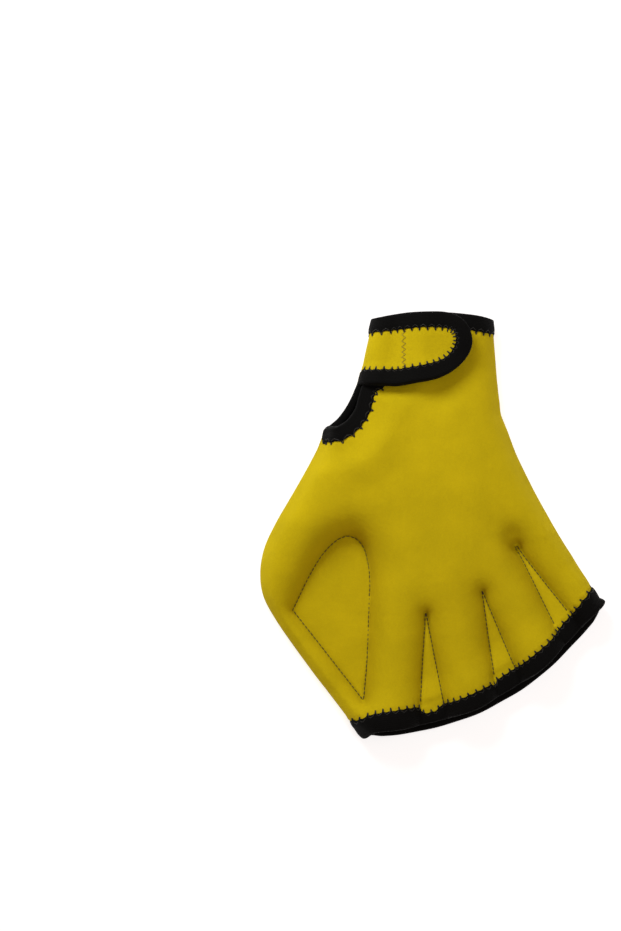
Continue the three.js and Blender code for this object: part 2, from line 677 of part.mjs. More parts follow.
// The hook patch under the strap, inside its tape
function hookPatch() {
  const patchCells = 5;
  const margin = armLength + patchMargin;
  const startX = strapSeam + margin / 2;
  const last = strap.outer[0].length - 1;
  const outline = [strap.outer[0][last - 1], ...strap.outer.map((row) => row[last]),
    strap.outer[strapRows][last - 1]];
  const grid = (below) => range(1, strapRows + 1).map((j) => {
    const tangent = outline[j + 1].clone().sub(outline[j - 1]).setZ(0).normalize();
    const end = outline[j].clone().add(new THREE.Vector3(tangent.y, -tangent.x, 0).multiplyScalar(margin));
    const t = strapPlace(end);
    return range(0, patchCells).map((k) => {
      const p = strapPoint(t, lerp(startX, end.x, k / patchCells));
      return p.setZ(p.z - wall - below);
    });
  });
  return sheetSolid(grid(2 * clearance), grid(strapStandoff - clearance));
}

function fingerBinding() {
  const last = rowPlaces.length - 1;
  const backEdge = back.outer[last].map((_, c) => edgePlace(back, last, c, -1, 0));
  const palmEdge = palm.outer[last].map((p, c) => (p ? edgePlace(palm, last, c, -1, 0) : null));
  return tapeSolid([...backEdge, ...palmEdge.filter(Boolean).reverse()], true, 3);
}

function wristBinding() {
  const strapLast = strap.outer[0].length - 1;
  const top = back.outer[0].map((_, c) => edgePlace(back, 0, c, 1, 0));
  const under = palm.outer[0].map((_, c) => edgePlace(palm, 0, c, 1, 0)).reverse();
  const strapTop = range(0, strapLast).map((c) => edgePlace(strap, 0, c, 1, 0, true));
  const tipEnd = range(0, strapRows).map((r) => edgePlace(strap, r, strapLast, 0, -1, true));
  const strapLower = range(0, strapLast).reverse().map((c) => edgePlace(strap, strapRows, c, -1, 0, true));
  const overFold = range(1, slitColumn).map((c) => edgePlace(palm, strapRows, c, -1, 0));
  const corner = overFold.pop();
  const before = overFold[overFold.length - 1];
  overFold.push(mixPlaces(corner, before, (2 * clearance) / corner.point.distanceTo(before.point)));
  return tapeSolid([
    ...top, ...under, ...strapTop.slice(1, -1), ...tipEnd, ...strapLower.slice(1, -1), ...overFold,
  ], false, 1);
}

function slitPalmBinding() {
  const rows = range(strapRows + 1, slitRow - 1);
  return tapeSolid(rows.map((r) => edgePlace(palm, r, slitColumn, 0, 1)), false, 5);
}

// The back panel's slit edge, up to the tape of its wrist edge
function slitBackBinding() {
  const rows = rowPlaces.filter((t) => t < slitStation).map((_, r) => r);
  const clear = rows.filter((r) => back.outer[0][0].y - back.outer[r][0].y > tapeWidth);
  const places = clear.map((r) => edgePlace(back, r, 0, 0, 1));
  const bottom = places.pop();
  const bottomShare = 0.2; // how far the tape goes on towards the slit's bottom, of one row
  places.push(mixPlaces(places[places.length - 1], bottom, bottomShare));
  return tapeSolid(places, false, 4);
}

const jersey = new THREE.MeshStandardMaterial({ color: 0xd2b41a, roughness: 0.85, metalness: 0 });
const binding = new THREE.MeshStandardMaterial({ color: 0x161717, roughness: 0.8, metalness: 0 });
const hooks = new THREE.MeshStandardMaterial({ color: 0x1b1b1c, roughness: 0.7, metalness: 0 });

function named(name, geometry, material) {
  const mesh = new THREE.Mesh(geometry, material);
  mesh.name = name;
  return mesh;
}

const glove = new THREE.Group();
glove.add(named('back_panel', sheetSolid(back.outer, back.inner), jersey));
glove.add(named('palm_panel', sheetSolid(palm.outer, palm.inner), jersey));
glove.add(named('wrist_strap', sheetSolid(strap.outer, strap.inner), jersey));
glove.add(named('hook_patch', hookPatch(), hooks));
glove.add(named('finger_binding', fingerBinding(), binding));
glove.add(named('wrist_binding', wristBinding(), binding));
glove.add(named('slit_palm_binding', slitPalmBinding(), binding));
glove.add(named('slit_back_binding', slitBackBinding(), binding));

// The origin is on the surface that it lies on, under the middle of its box
const box = new THREE.Box3().setFromObject(glove);
const middle = box.getCenter(new THREE.Vector3());
glove.position.set(-middle.x, -middle.y, -box.min.z);

export default glove;
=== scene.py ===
"""A webbed swim glove: dressed panels, folded edge tapes and stitches, lying palm down."""

import math

import bpy
import numpy as np
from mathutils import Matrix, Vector
from mathutils.bvhtree import BVHTree
from mathutils.kdtree import KDTree


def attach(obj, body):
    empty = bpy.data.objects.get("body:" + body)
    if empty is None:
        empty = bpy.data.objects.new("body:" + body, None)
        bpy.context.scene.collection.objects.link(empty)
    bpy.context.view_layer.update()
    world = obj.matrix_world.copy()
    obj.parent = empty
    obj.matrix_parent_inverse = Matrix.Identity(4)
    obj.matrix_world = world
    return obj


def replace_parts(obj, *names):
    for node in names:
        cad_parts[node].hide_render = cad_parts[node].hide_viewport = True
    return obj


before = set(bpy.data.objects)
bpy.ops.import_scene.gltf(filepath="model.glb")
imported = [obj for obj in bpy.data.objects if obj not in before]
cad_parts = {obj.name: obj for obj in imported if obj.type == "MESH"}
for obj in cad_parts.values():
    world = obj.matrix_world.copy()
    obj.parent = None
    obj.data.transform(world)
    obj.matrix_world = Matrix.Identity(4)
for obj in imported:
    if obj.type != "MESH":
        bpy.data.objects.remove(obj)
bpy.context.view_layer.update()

bl_info = {
    "name": "Webbed Swim Glove",
    "version": (1, 0, 0),
    "blender": (4, 5, 0),
    "location": "View3D > Sidebar > Glove",
    "description": "Sewn neoprene panels, edge tape, stitches and studio for a webbed swim glove",
    "category": "Object",
}

# Sizes of the pattern in millimetres
LENGTH = 220.0
WIDTH = 177.0
WALL = 2.5
RIM = 5.0
WRIST_CROWN = 8.0
PALM_CROWN = 15.0
FINGER_CROWN = 13.0
SPRINGINESS = 8.5
SLIT_DROOP = 6.0
SLIT_REACH = 22.0
PALM_REACH = 3.8
PALM_ROWS = 0.857
STRAP_LIFT = 1.2
STRAP_TIP = 18.0
STRAP_ROUND = 20.0
STRAP_SLOPE = 8.0
STRAP_SEAM = -14.8
STRAP_DROP = 0.3
STRAP_TILT = 0.14
STRAP_LEVEL = -17.0
STRAP_STANDOFF = 3.7
TAPE_OUT = 1.7
TAPE_WIDTH = 8.0
TAPE_LIFT = 1.8
ORIGIN = np.array([0.141, -1.469, 0.0])
MM = 0.001

# The outline from wrist to finger edge, as shares of the glove's width and length
COLUMNS = ("thumb_x", "thumb_y", "edge_x", "edge_y", "little_x", "little_y", "bow", "fold", "wrap")
STATIONS = np.array([
    (-0.172, 0.474, -0.13, 0.475, 0.177, 0.473, -0.012, 1, 90),
    (-0.192, 0.402, -0.144, 0.407, 0.185, 0.402, 0, 1, 90),
    (-0.209, 0.333, -0.155, 0.345, 0.192, 0.334, 0, 1, 90),
    (-0.212, 0.325, -0.172, 0.336, 0.1935, 0.325, 0, 0.97, 90),
    (-0.218, 0.314, -0.193, 0.322, 0.195, 0.311, 0, 0.92, 90),
    (-0.228, 0.295, -0.203, 0.297, 0.199, 0.286, 0.001, 0.8, 88),
    (-0.245, 0.27, -0.214, 0.267, 0.203, 0.259, 0.003, 0.5, 84),
    (-0.268, 0.246, -0.24, 0.239, 0.216, 0.232, 0.005, 0.25, 74),
    (-0.291, 0.23, -0.275, 0.221, 0.225, 0.214, 0.006, 0.1, 70),
    (-0.31, 0.214, -0.31, 0.214, 0.232, 0.198, 0.007, 0, 90),
    (-0.335, 0.17, -0.335, 0.17, 0.25, 0.161, 0.011, 0, 90),
    (-0.376, 0.11, -0.376, 0.11, 0.2825, 0.107, 0.018, 0, 90),
    (-0.418, 0.051, -0.418, 0.051, 0.319, 0.05, 0.027, 0, 90),
    (-0.459, -0.007, -0.459, -0.007, 0.354, 0, 0.039, 0, 90),
    (-0.4875, -0.061, -0.4875, -0.061, 0.384, -0.041, 0.05, 0, 90),
    (-0.497, -0.118, -0.497, -0.118, 0.407, -0.07, 0.059, 0, 90),
    (-0.487, -0.17, -0.487, -0.17, 0.424, -0.093, 0.066, 0, 90),
    (-0.449, -0.226, -0.449, -0.226, 0.438, -0.111, 0.072, 0, 90),
    (-0.397, -0.288, -0.397, -0.288, 0.451, -0.127, 0.0765, 0, 90),
    (-0.336, -0.3545, -0.336, -0.3545, 0.463, -0.143, 0.08, 0, 90),
    (-0.271, -0.422, -0.271, -0.422, 0.4745, -0.158, 0.083, 0, 90),
    (-0.22, -0.475, -0.22, -0.475, 0.484, -0.172, 0.0845, 0, 90),
])
STRAP = 2
SLIT = 9
LAST = len(STATIONS) - 1

# Darts between the fingers: the point, and where both seams reach the finger edge
DARTS = (
    ((-0.018, -0.204), (-0.032, -0.422), (0.035, -0.419)),
    ((0.145, -0.153), (0.182, -0.354), (0.241, -0.334)),
    ((0.247, -0.052), (0.356, -0.231), (0.398, -0.206)),
)

# The web's seam from its lower corner up its right side, over the top and down to its left corner
WEB = (
    (-0.198, -0.4095), (-0.189, -0.331), (-0.1815, -0.179), (-0.1797, -0.127), (-0.185, -0.09),
    (-0.2035, -0.047), (-0.222, -0.034), (-0.24, -0.03), (-0.268, -0.035), (-0.2955, -0.053),
    (-0.342, -0.105), (-0.402, -0.2),
)
WEB_TOP = 7
WEB_CELLS = 5
WEB_TAILS = ((-0.145, -0.52), (-0.1, -0.52))
SPREADS = (
    (0.5, (-0.07, -0.058, -0.034, -0.006, 0.045, 0.068, 0.105, 0.128)),
    (0.33, (-0.092, -0.08, -0.036, -0.01, 0.055, 0.075, 0.12, 0.14)),
    (0.22, (-0.14, -0.125, -0.036, -0.012, 0.07, 0.09, 0.145, 0.165)),
    (0.08, (-0.208, -0.192, -0.034, -0.014, 0.1, 0.115, 0.195, 0.212)),
)


def lerp(a, b, f):
    return a + (b - a) * f


def smooth(x):
    x = np.clip(x, 0, 1)
    return x * x * (3 - 2 * x)


def hermite(a, b, way_a, way_b, f):
    """A cubic from a to b at shares f, with the directions that it has at both."""
    f2 = f * f
    f3 = f2 * f
    start = (2 * f3 - 3 * f2 + 1) * a + (f3 - 2 * f2 + f) * way_a
    return start + (3 * f2 - 2 * f3) * b + (f3 - f2) * way_b


def scaled(points):
    return np.array(points, float) * (WIDTH, LENGTH)


def column(name, t):
    """One column of the outline's table at places t between its rows."""
    values = STATIONS[:, COLUMNS.index(name)]
    i = np.minimum(np.floor(t).astype(int), LAST - 1)
    f = t - i

    def at(k):
        return values[np.clip(k, 0, LAST)]

    if name in ("fold", "wrap"):
        return lerp(at(i), at(i + 1), f)
    return hermite(at(i), at(i + 1), (at(i + 1) - at(i - 1)) / 2, (at(i + 2) - at(i)) / 2, f)


def chord(t, side):
    left = np.stack([column(side + "_x", t) * WIDTH, column(side + "_y", t) * LENGTH], -1)
    right = np.stack([column("little_x", t) * WIDTH, column("little_y", t) * LENGTH], -1)
    return left, right - left


def across(t, side, u):
    """Points at shares u of the lines across the glove at places t."""
    t, u = np.broadcast_arrays(np.asarray(t, float), np.asarray(u, float))
    left, way = chord(t, side)
    long = np.hypot(way[..., 0], way[..., 1])
    bow = column("bow", t) * LENGTH * 4 * u * (1 - u)
    x = left[..., 0] + way[..., 0] * u + way[..., 1] / long * bow
    y = left[..., 1] + way[..., 1] * u - way[..., 0] / long * bow
    return x, y


def line_length(t, side):
    way = chord(np.asarray(t, float), side)[1]
    return np.hypot(way[..., 0], way[..., 1])


def nearest_on(points, x, y):
    """Distance from a polyline, and how far along it the nearest place is."""
    best = np.full(x.shape, 1e9)
    along = np.zeros(x.shape)
    run = 0.0
    for a, b in zip(points[:-1], points[1:]):
        d = b - a
        square = max(float(d @ d), 1e-12)
        f = np.clip(((x - a[0]) * d[0] + (y - a[1]) * d[1]) / square, 0, 1)
        gap = np.hypot(x - a[0] - f * d[0], y - a[1] - f * d[1])
        closer = gap < best
        best = np.where(closer, gap, best)
        along = np.where(closer, run + f * math.sqrt(square), along)
        run += math.sqrt(square)
    return best, along


def inside(points, x, y):
    odd = np.zeros(x.shape, bool)
    for a, b in zip(points, np.roll(points, 1, 0)):
        if a[1] == b[1]:
            continue
        crossed = (a[1] > y) != (b[1] > y)
        odd ^= crossed & (x < a[0] + (y - a[1]) / (b[1] - a[1]) * (b[0] - a[0]))
    return odd


def side_points(name, start, end, count):
    t = np.linspace(start, end, count + 1)
    return np.stack([column(name + "_x", t) * WIDTH, column(name + "_y", t) * LENGTH], -1)


def extended(points, at_start):
    reach = 2 * TAPE_WIDTH
    first = points[0] - points[1]
    last = points[-1] - points[-2]
    start = points[0] + first / np.linalg.norm(first) * reach
    end = points[-1] + last / np.linalg.norm(last) * reach
    return np.vstack([start, points, end]) if at_start else np.vstack([points, end])


FINE = 60
MARGIN = 12.0
FINGER_BLEND = 45.0
WRIST_BLEND = 80.0
SEAM_FIRMNESS = 60.0
SEAM_CELLS = 1.1
SEWN_GAP = 0.3
OVERRUN = 0.6
ASIDE = 0.4

# Cells of the sprung sheet, ever finer, and how often each is relaxed
GRIDS = ((4.0, 300), (2.0, 300), (1.0, 300), (0.5, 260))

# How far the web and each dart stay over the rim's height, all along and at the dart's point
DART_LEVEL = (0.0, 4.2, 4.2, 3.2)
DART_EASE = (0.0, 4.5, 4.5, 0.0)
DART_REACH = 34.0

thumb_seam = side_points("thumb", SLIT, LAST, FINE)
little_seam = side_points("little", 0, LAST, FINE)
shares = np.linspace(0, 1, FINE + 1)
finger_line = np.stack(across(LAST, "edge", shares), -1)
wrist_line = np.stack(across(0, "edge", shares), -1)
little_line = extended(little_seam, True)
fixed_lines = (extended(thumb_seam, False), little_line)
back_slit = side_points("edge", 0, SLIT, FINE)


def beyond(a, b):
    return b + (b - a) * OVERRUN


def curve(points, cells):
    """A smooth line through points, whose tangents weigh both neighbours by their distance."""
    step = np.linalg.norm(np.diff(points, axis=0), axis=1)[:, None]
    slope = np.diff(points, axis=0) / step
    bend = (slope[:-1] * step[1:] + slope[1:] * step[:-1]) / (step[1:] + step[:-1])
    bend = np.vstack([slope[:1], bend, slope[-1:]])
    f = np.linspace(0, 1, cells + 1)[:-1, None]
    parts = [
        hermite(points[i], points[i + 1], bend[i] * step[i], bend[i + 1] * step[i], f)
        for i in range(len(step))
    ]
    return np.vstack([*parts, points[-1:]])


web_line = curve(scaled(WEB), WEB_CELLS)
dart_lines = [scaled(dart) for dart in DARTS]
sewn_areas = [web_line] + [
    np.array([point, beyond(point, left), beyond(point, right)]) for point, left, right in dart_lines
]


def closed(points):
    return np.vstack([points, points[:1]])


def mesh_lines():
    """The eight lines that follow the web's two sides and the darts' two seams each."""
    top = WEB_TOP * WEB_CELLS
    left = [*web_line[top:], web_line[0], scaled(WEB_TAILS[0])]
    right = [*web_line[top::-1], scaled(WEB_TAILS[1])]
    lines = [left, right]
    for point, *ends in dart_lines:
        lines += [[point, end, beyond(point, end)] for end in ends]
    made = []
    for i, line in enumerate(lines):
        aside = ASIDE if i % 2 else -ASIDE
        above = [scaled((x[i], y)) for y, x in SPREADS]
        path = np.array([*above, *[p + (aside, 0) for p in line]])
        path[:, 1] = np.minimum.accumulate(path[:, 1])
        made.append(path)
    return made


def relaxed_rise():
    """How far the back rises over the rim, like a sprung sheet held down at its seams."""
    low = np.array([-WIDTH / 2 - MARGIN, -LENGTH / 2 - MARGIN])
    span = -2 * low
    rise = None
    for cell, passes in GRIDS:
        columns, rows = (int(math.ceil(s / cell)) + 1 for s in span)
        x, y = np.meshgrid(low[0] + cell * np.arange(columns), low[1] + cell * np.arange(rows))
        from_fingers = nearest_on(finger_line, x, y)[0]
        from_wrist = nearest_on(wrist_line, x, y)[0]
        palm = lerp(FINGER_CROWN, PALM_CROWN, smooth(from_fingers / FINGER_BLEND))
        target = lerp(WRIST_CROWN, palm, smooth(from_wrist / WRIST_BLEND))
        hold = np.zeros(x.shape)
        level = np.zeros(x.shape)
        for line in fixed_lines:
            hold = np.maximum(hold, np.clip(SEAM_CELLS - nearest_on(line, x, y)[0] / cell, 0, 1))
        taped = smooth((TAPE_WIDTH + 4 - from_fingers) / 4)
        for i, area in enumerate(sewn_areas):
            gap = nearest_on(closed(area), x, y)[0] * np.where(inside(area, x, y), -1, 1)
            sewn = np.clip(SEAM_CELLS - gap / cell, 0, 1)
            from_point = np.hypot(x - area[0, 0], y - area[0, 1])
            shallow = DART_LEVEL[i] + DART_EASE[i] * (1 - smooth(from_point / DART_REACH))
            flat = SEWN_GAP - RIM + lerp(shallow, 2 * TAPE_OUT, taped if i else 0)
            level = np.where(sewn > 0, flat, level)
            hold = np.maximum(hold, sewn)
        if rise is None:
            rise = target.copy()
        else:
            rise = sampled(rise, low, 2 * cell, x, y)
        pull = (cell / SPRINGINESS) ** 2
        firm = SEAM_FIRMNESS * hold
        fixed = pull * target + firm * level
        total = 4 + pull + firm
        for _ in range(passes):
            wide = np.pad(rise, 1, mode="edge")
            near_sum = wide[:-2, 1:-1] + wide[2:, 1:-1] + wide[1:-1, :-2] + wide[1:-1, 2:]
            rise = (near_sum + fixed) / total
    return rise, low, cell


def sampled(values, low, cell, x, y):
    rows, columns = values.shape
    fx = np.clip((x - low[0]) / cell, 0, columns - 1.001)
    fy = np.clip((y - low[1]) / cell, 0, rows - 1.001)
    c = fx.astype(int)
    r = fy.astype(int)
    fx = fx - c
    fy = fy - r
    bottom = lerp(values[r, c], values[r, c + 1], fx)
    top = lerp(values[r + 1, c], values[r + 1, c + 1], fx)
    return lerp(bottom, top, fy)


rise_field = relaxed_rise()


def rim_drop(d):
    return RIM - np.sqrt(np.maximum(RIM * RIM - (RIM - np.minimum(d, RIM)) ** 2, 0))


def from_rim(x, y):
    return np.minimum(*(nearest_on(line, x, y)[0] for line in fixed_lines))


EASE_WIDTH = 0.7 * RIM


def eased(d):
    """A share that grows from 0 at the rim to 1 without a kink."""
    return 1 - np.exp(-((d / EASE_WIDTH) ** 1.5))


def rest_height(x, y):
    from_edge = np.minimum(nearest_on(finger_line, x, y)[0], nearest_on(wrist_line, x, y)[0])
    middle = STATIONS[SLIT - 2, :2] * (WIDTH, LENGTH)
    from_slit = np.hypot(x - middle[0], y - middle[1]) - 2 * TAPE_WIDTH
    return TAPE_LIFT * (1 - smooth((np.minimum(from_edge, from_slit) - TAPE_WIDTH) / (2 * TAPE_WIDTH)))


def back_height(x, y):
    d = from_rim(x, y)
    bottom = back_slit[-1]
    opened = smooth(np.hypot(x - bottom[0], y - bottom[1]) / SLIT_REACH)
    droop = SLIT_DROOP * opened * (1 - smooth(nearest_on(back_slit, x, y)[0] / SLIT_REACH))
    up = sampled(*rise_field, x, y) * eased(d)
    return rest_height(x, y) + 2 * RIM - rim_drop(d) + up - droop


def palm_height(x, y):
    return rest_height(x, y) + rim_drop(nearest_on(little_line, x, y)[0])


def strap_height(x, y, lower):
    return back_height(x, y) + STRAP_STANDOFF + WALL + STRAP_LIFT * lower * lower


# Rows and columns of the panels' meshes. The table's rows under the strap stand close together.
STRAP_ROW = 28
SLIT_ROWS = 34
SLIT_ROW = STRAP_ROW + 1 + SLIT_ROWS
BODY_ROWS = 144
ROWS = np.concatenate([
    np.linspace(0, STRAP, STRAP_ROW + 1),
    np.linspace(STRAP + 1, SLIT, SLIT_ROWS + 1)[:-1],
    np.linspace(SLIT, LAST, BODY_ROWS + 1),
])
CELLS = (20, 12, 22, 8, 24, 8, 24, 8, 18)
RIM_CELLS = 5
FOLD_CELLS = 8
STRAP_CELLS = 14
TIP_CELLS = 34
MEET = 0.04
LEAST_CELLS = 0.5
CROWDING = 0.6


def rim_offset(k):
    return RIM * (1 - math.cos(math.pi / 2 * k / RIM_CELLS))


def crossing(t, side, path):
    low = np.zeros(t.shape)
    high = np.ones(t.shape)
    for _ in range(30):
        middle = (low + high) / 2
        x, y = across(t, side, middle)
        short = x < np.interp(-y, -path[:, 1], path[:, 0])
        low = np.where(short, middle, low)
        high = np.where(short, high, middle)
    return low


def column_places(t, side, offset):
    """Shares along each line across the glove, closer together at the seams."""
    length = line_length(t, side)
    start = offset / length
    end = 1 - RIM / length
    knots = np.array([start, *[crossing(t, side, path) for path in mesh_lines()], end])
    least = LEAST_CELLS / length
    for i in range(1, len(knots)):
        knots[i] = np.maximum(knots[i], knots[i - 1] + least)
    knots[-1] = end
    for i in range(len(knots) - 2, 0, -1):
        knots[i] = np.minimum(knots[i], knots[i + 1] - least)
    places = [start]
    for i, count in enumerate(CELLS):
        for k in range(1, count + 1):
            f = k / count
            f -= CROWDING * math.sin(2 * math.pi * f) / (2 * math.pi)
            places.append(lerp(knots[i], knots[i + 1], f))
    places += [1 - rim_offset(k) / length for k in range(RIM_CELLS - 1, -1, -1)]
    return np.array(places).T


def back_grid():
    t = ROWS
    length = line_length(t, "edge")
    lead = np.array([rim_offset(k) / length for k in range(RIM_CELLS)]).T
    u = np.hstack([lead, column_places(t, "edge", np.full(t.shape, RIM))])
    x, y = across(t[:, None], "edge", u)
    z = back_height(x, y)
    seam = rest_height(x, y) + RIM + MEET
    z[:, -1] = seam[:, -1]
    z[SLIT_ROW:, 0] = seam[SLIT_ROW:, 0]
    return np.stack([x, y, z], -1)


def fold_radius(t):
    capped = np.minimum(t, STRAP)
    x = column("edge_x", capped) * WIDTH
    y = column("edge_y", capped) * LENGTH
    lower = np.clip(t / STRAP, 0, 1)
    full = (strap_height(x, y, lower) - rest_height(x, y)) / 2
    return lerp(RIM, full, column("fold", t))


def strap_point(t, x):
    """Points on the strap at places t of its width and at x."""
    t, x = np.broadcast_arrays(np.asarray(t, float), np.asarray(x, float))
    left = column("thumb_x", t) * WIDTH
    radius = fold_radius(t)
    fold_x = left + radius
    y = across(t, "thumb", (x - left) / line_length(t, "thumb"))[1]
    tilt = lerp(STRAP_DROP, STRAP_TILT * (x - STRAP_LEVEL), t / STRAP)
    y = y + tilt * smooth((x - fold_x) / (2 * TAPE_WIDTH))
    start = rest_height(fold_x, y) + 2 * radius
    settled = strap_height(x, y, t / STRAP)
    return np.stack([x, y, lerp(start, settled, smooth((x - fold_x) / TAPE_WIDTH))], -1)


def palm_grid():
    t = ROWS
    length = line_length(t, "thumb")
    left = column("thumb_x", t) * WIDTH
    radius = fold_radius(t)
    fold_x = left + radius
    parts = []
    on_strap = t <= STRAP + 1e-9
    for k in range(STRAP_CELLS):
        p = strap_point(t, lerp(STRAP_SEAM - MEET, fold_x, k / STRAP_CELLS))
        p[~on_strap] = np.nan
        parts.append(p)
    wrap = np.radians(column("wrap", t))
    height = rest_height(*across(t, "thumb", radius / length))
    for k in range(2 * FOLD_CELLS):
        upper = max(FOLD_CELLS - k, 0) / FOLD_CELLS
        lower = min(2 * FOLD_CELLS - k, FOLD_CELLS) / FOLD_CELLS
        angle = wrap * lower + (math.pi - wrap) * upper
        x, y = across(t, "thumb", radius * (1 - np.sin(angle)) / length)
        z = height + radius * (1 - np.cos(angle))
        if k == FOLD_CELLS:
            z[SLIT_ROW:] = (height + RIM - MEET)[SLIT_ROW:]
        p = np.stack([x, y, z], -1)
        if k < FOLD_CELLS:
            p[~on_strap] = np.nan
        parts.append(p)
    u = column_places(t, "thumb", radius)
    x, y = across(t[:, None], "thumb", u)
    z = palm_height(x, y)
    z[:, -1] = rest_height(x[:, -1], y[:, -1]) + RIM - MEET
    grid = np.concatenate([np.stack(parts, 1), np.stack([x, y, z], -1)], 1)
    share = np.clip((ROWS - LAST) / PALM_ROWS + 1, 0, 1)[:, None]
    reach = PALM_REACH * smooth(from_rim(grid[..., 0], grid[..., 1]) / (2 * RIM)) * share
    way = chord(np.array(float(LAST)), "thumb")[1]
    way = way / np.hypot(*way)
    grid[..., 0] += way[1] * reach
    grid[..., 1] -= way[0] * reach
    return grid


strap_turn = np.pi * np.linspace(0, 1, STRAP_ROW + 1)
shares_down = (1 - np.cos(strap_turn)) / 2


def strap_grid():
    bulge = STRAP_ROUND * np.sin(strap_turn)
    end = STRAP_TIP - STRAP_ROUND + STRAP_SLOPE * (0.5 - shares_down) + bulge
    f = np.linspace(0, 1, TIP_CELLS + 1)
    x = lerp(STRAP_SEAM + MEET, end[:, None], f[None, :])
    return strap_point(shares_down[:, None] * STRAP, x)


def turned(grid, dr, dc):
    """The grid shifted by rows and columns, with each point itself where it has no neighbour."""
    rows, columns = grid.shape[:2]
    r = np.clip(np.arange(rows) + dr, 0, rows - 1)
    c = np.clip(np.arange(columns) + dc, 0, columns - 1)
    moved = grid[r][:, c]
    return np.where(np.isnan(moved), grid, moved)


def unit(v):
    return v / np.maximum(np.linalg.norm(v, axis=-1, keepdims=True), 1e-12)


def facing(grid, sign, thumb_column):
    """Outward normals, which lie level along both seams."""
    down = turned(grid, 1, 0) - turned(grid, -1, 0)
    n = unit(np.cross(turned(grid, 0, 1) - turned(grid, 0, -1), down)) * sign
    for c, start, side in ((thumb_column, SLIT_ROW + 1, 1), (-1, 0, -1)):
        level = down[start:, c].copy()
        n[start:, c] = unit(np.stack([level[:, 1], -level[:, 0], 0 * level[:, 0]], -1)) * side
    return n


class Cloth:
    """One panel: its outer face, its outward normals and a search tree of the wall's middle."""

    def __init__(self, outer, normals):
        self.outer = outer
        self.normals = normals
        self.middle = outer - normals * WALL / 2
        self.tree = BVHTree.FromPolygons(*flat_grid(self.middle))


def quads(n):
    """The four corners of every cell of a numbered grid."""
    return np.stack([n[:-1, :-1], n[1:, :-1], n[1:, 1:], n[:-1, 1:]], -1)


def numbered(grid):
    there = ~np.isnan(grid[..., 0])
    numbers = np.full(there.shape, -1)
    numbers[there] = np.arange(there.sum())
    cells = there[:-1, :-1] & there[1:, :-1] & there[:-1, 1:] & there[1:, 1:]
    return there, numbers, cells


def flat_grid(grid):
    there, n, cells = numbered(grid)
    return grid[there].tolist(), quads(n)[cells].tolist()


def cloth_faces(grid):
    """Quads of a wall between two copies of a grid, with its free edges closed."""
    there, n, cells = numbered(grid)
    count = int(there.sum())
    top = quads(n)[cells]
    faces = [top, top[:, ::-1] + count]
    wide = np.pad(cells, 1)
    for (r, c), ends in {
        (0, -1): ((0, 0), (1, 0)),
        (0, 1): ((1, 1), (0, 1)),
        (-1, 0): ((0, 1), (0, 0)),
        (1, 0): ((1, 0), (1, 1)),
    }.items():
        free = cells & ~wide[1 + r : wide.shape[0] - 1 + r, 1 + c : wide.shape[1] - 1 + c]
        i, j = np.nonzero(free)
        a = n[i + ends[0][0], j + ends[0][1]]
        b = n[i + ends[1][0], j + ends[1][1]]
        faces.append(np.stack([b, a, a + count, b + count], -1))
    return np.vstack(faces)


def volume(points, faces):
    a, b, c = (points[faces[:, k]] for k in (0, 1, 2))
    total = (a * np.cross(b, c)).sum()
    if faces.shape[1] == 4:
        d = points[faces[:, 3]]
        total += (a * np.cross(c, d)).sum()
    return total


def new_piece(name, points, faces, material, uv=None, angle=60.0):
    """A mesh object in the row's frame, from millimetres, with its faces turned outwards."""
    faces = np.asarray(faces)
    if volume(points, faces) < 0:
        faces = faces[:, ::-1]
    mesh = bpy.data.meshes.new(name)
    mesh.from_pydata(((points + ORIGIN) * MM).tolist(), [], faces.tolist())
    if uv is not None:
        layer = mesh.uv_layers.new(name="cloth")
        corner = np.zeros(len(mesh.loops), int)
        mesh.loops.foreach_get("vertex_index", corner)
        layer.data.foreach_set("uv", (uv[corner] * MM).astype(np.float32).ravel())
    mesh.validate()
    piece = bpy.data.objects.new(name, mesh)
    bpy.context.collection.objects.link(piece)
    mesh.materials.append(material)
    bpy.ops.object.select_all(action="DESELECT")
    piece.select_set(True)
    bpy.context.view_layer.objects.active = piece
    bpy.ops.object.shade_smooth_by_angle(angle=math.radians(angle))
    piece.select_set(False)
    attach(piece, "root")
    return piece


# Relief that the sewing gives the cloth
WAVE_DEPTH = 0.22
SEAM_DEPTH = 0.55
SEAM_WIDTH = 0.6
PULL_DEPTH = 0.3
PULL_WIDTH = 2.4
PUFF = 0.34
PUFF_AT, PUFF_WIDTH = 1.4, 1.2
TUCK_AT, TUCK_WIDTH = 0.6, 1.0
STITCH_GAP = 0.4
STITCH_START = 0.3
STITCH_LIFT = 0.34
STITCH_ARCH = 0.22
STITCH_THICKNESS = (0.6, 1, 1.1, 1, 0.6)
BACK_SEED = 3
PALM_SEED = 7
SEAM_STEP = 1.3
SEAM_SWING = 2.2
SEAM_SPAN = (0.42, STRAP - 0.44)
SEAM_ARCH = 0.12
SEAM_SUNK = 0.05
STRAP_THREAD = 0.7
PUFF_REACH = 5.0
seam_lines = [closed(web_line)] + [
    np.array([point, end]) for point, *ends in dart_lines for end in ends
]


# Places where the sewing pulls the cloth down: middle, depth and reach
DENTS = (((42.0, -6.5), 3.0, 6.5), ((36.0, 0.5), 1.5, 10.0), ((-41.0, -3.5), 0.7, 9.0),
         ((-56.0, -20.0), 0.6, 8.0), ((4.0, 68.0), 1.8, 8.0))


def waves(x, y, seed):
    """Slow unevenness of the cloth."""
    draw = np.random.default_rng(seed)
    total = np.zeros(x.shape)
    for _ in range(14):
        turn = draw.uniform(0, math.pi)
        size = draw.uniform(16, 60)
        phase = draw.uniform(0, 2 * math.pi)
        total += size / 60 * np.sin(
            (x * math.cos(turn) + y * math.sin(turn)) * 2 * math.pi / size + phase
        )
    return total / 6


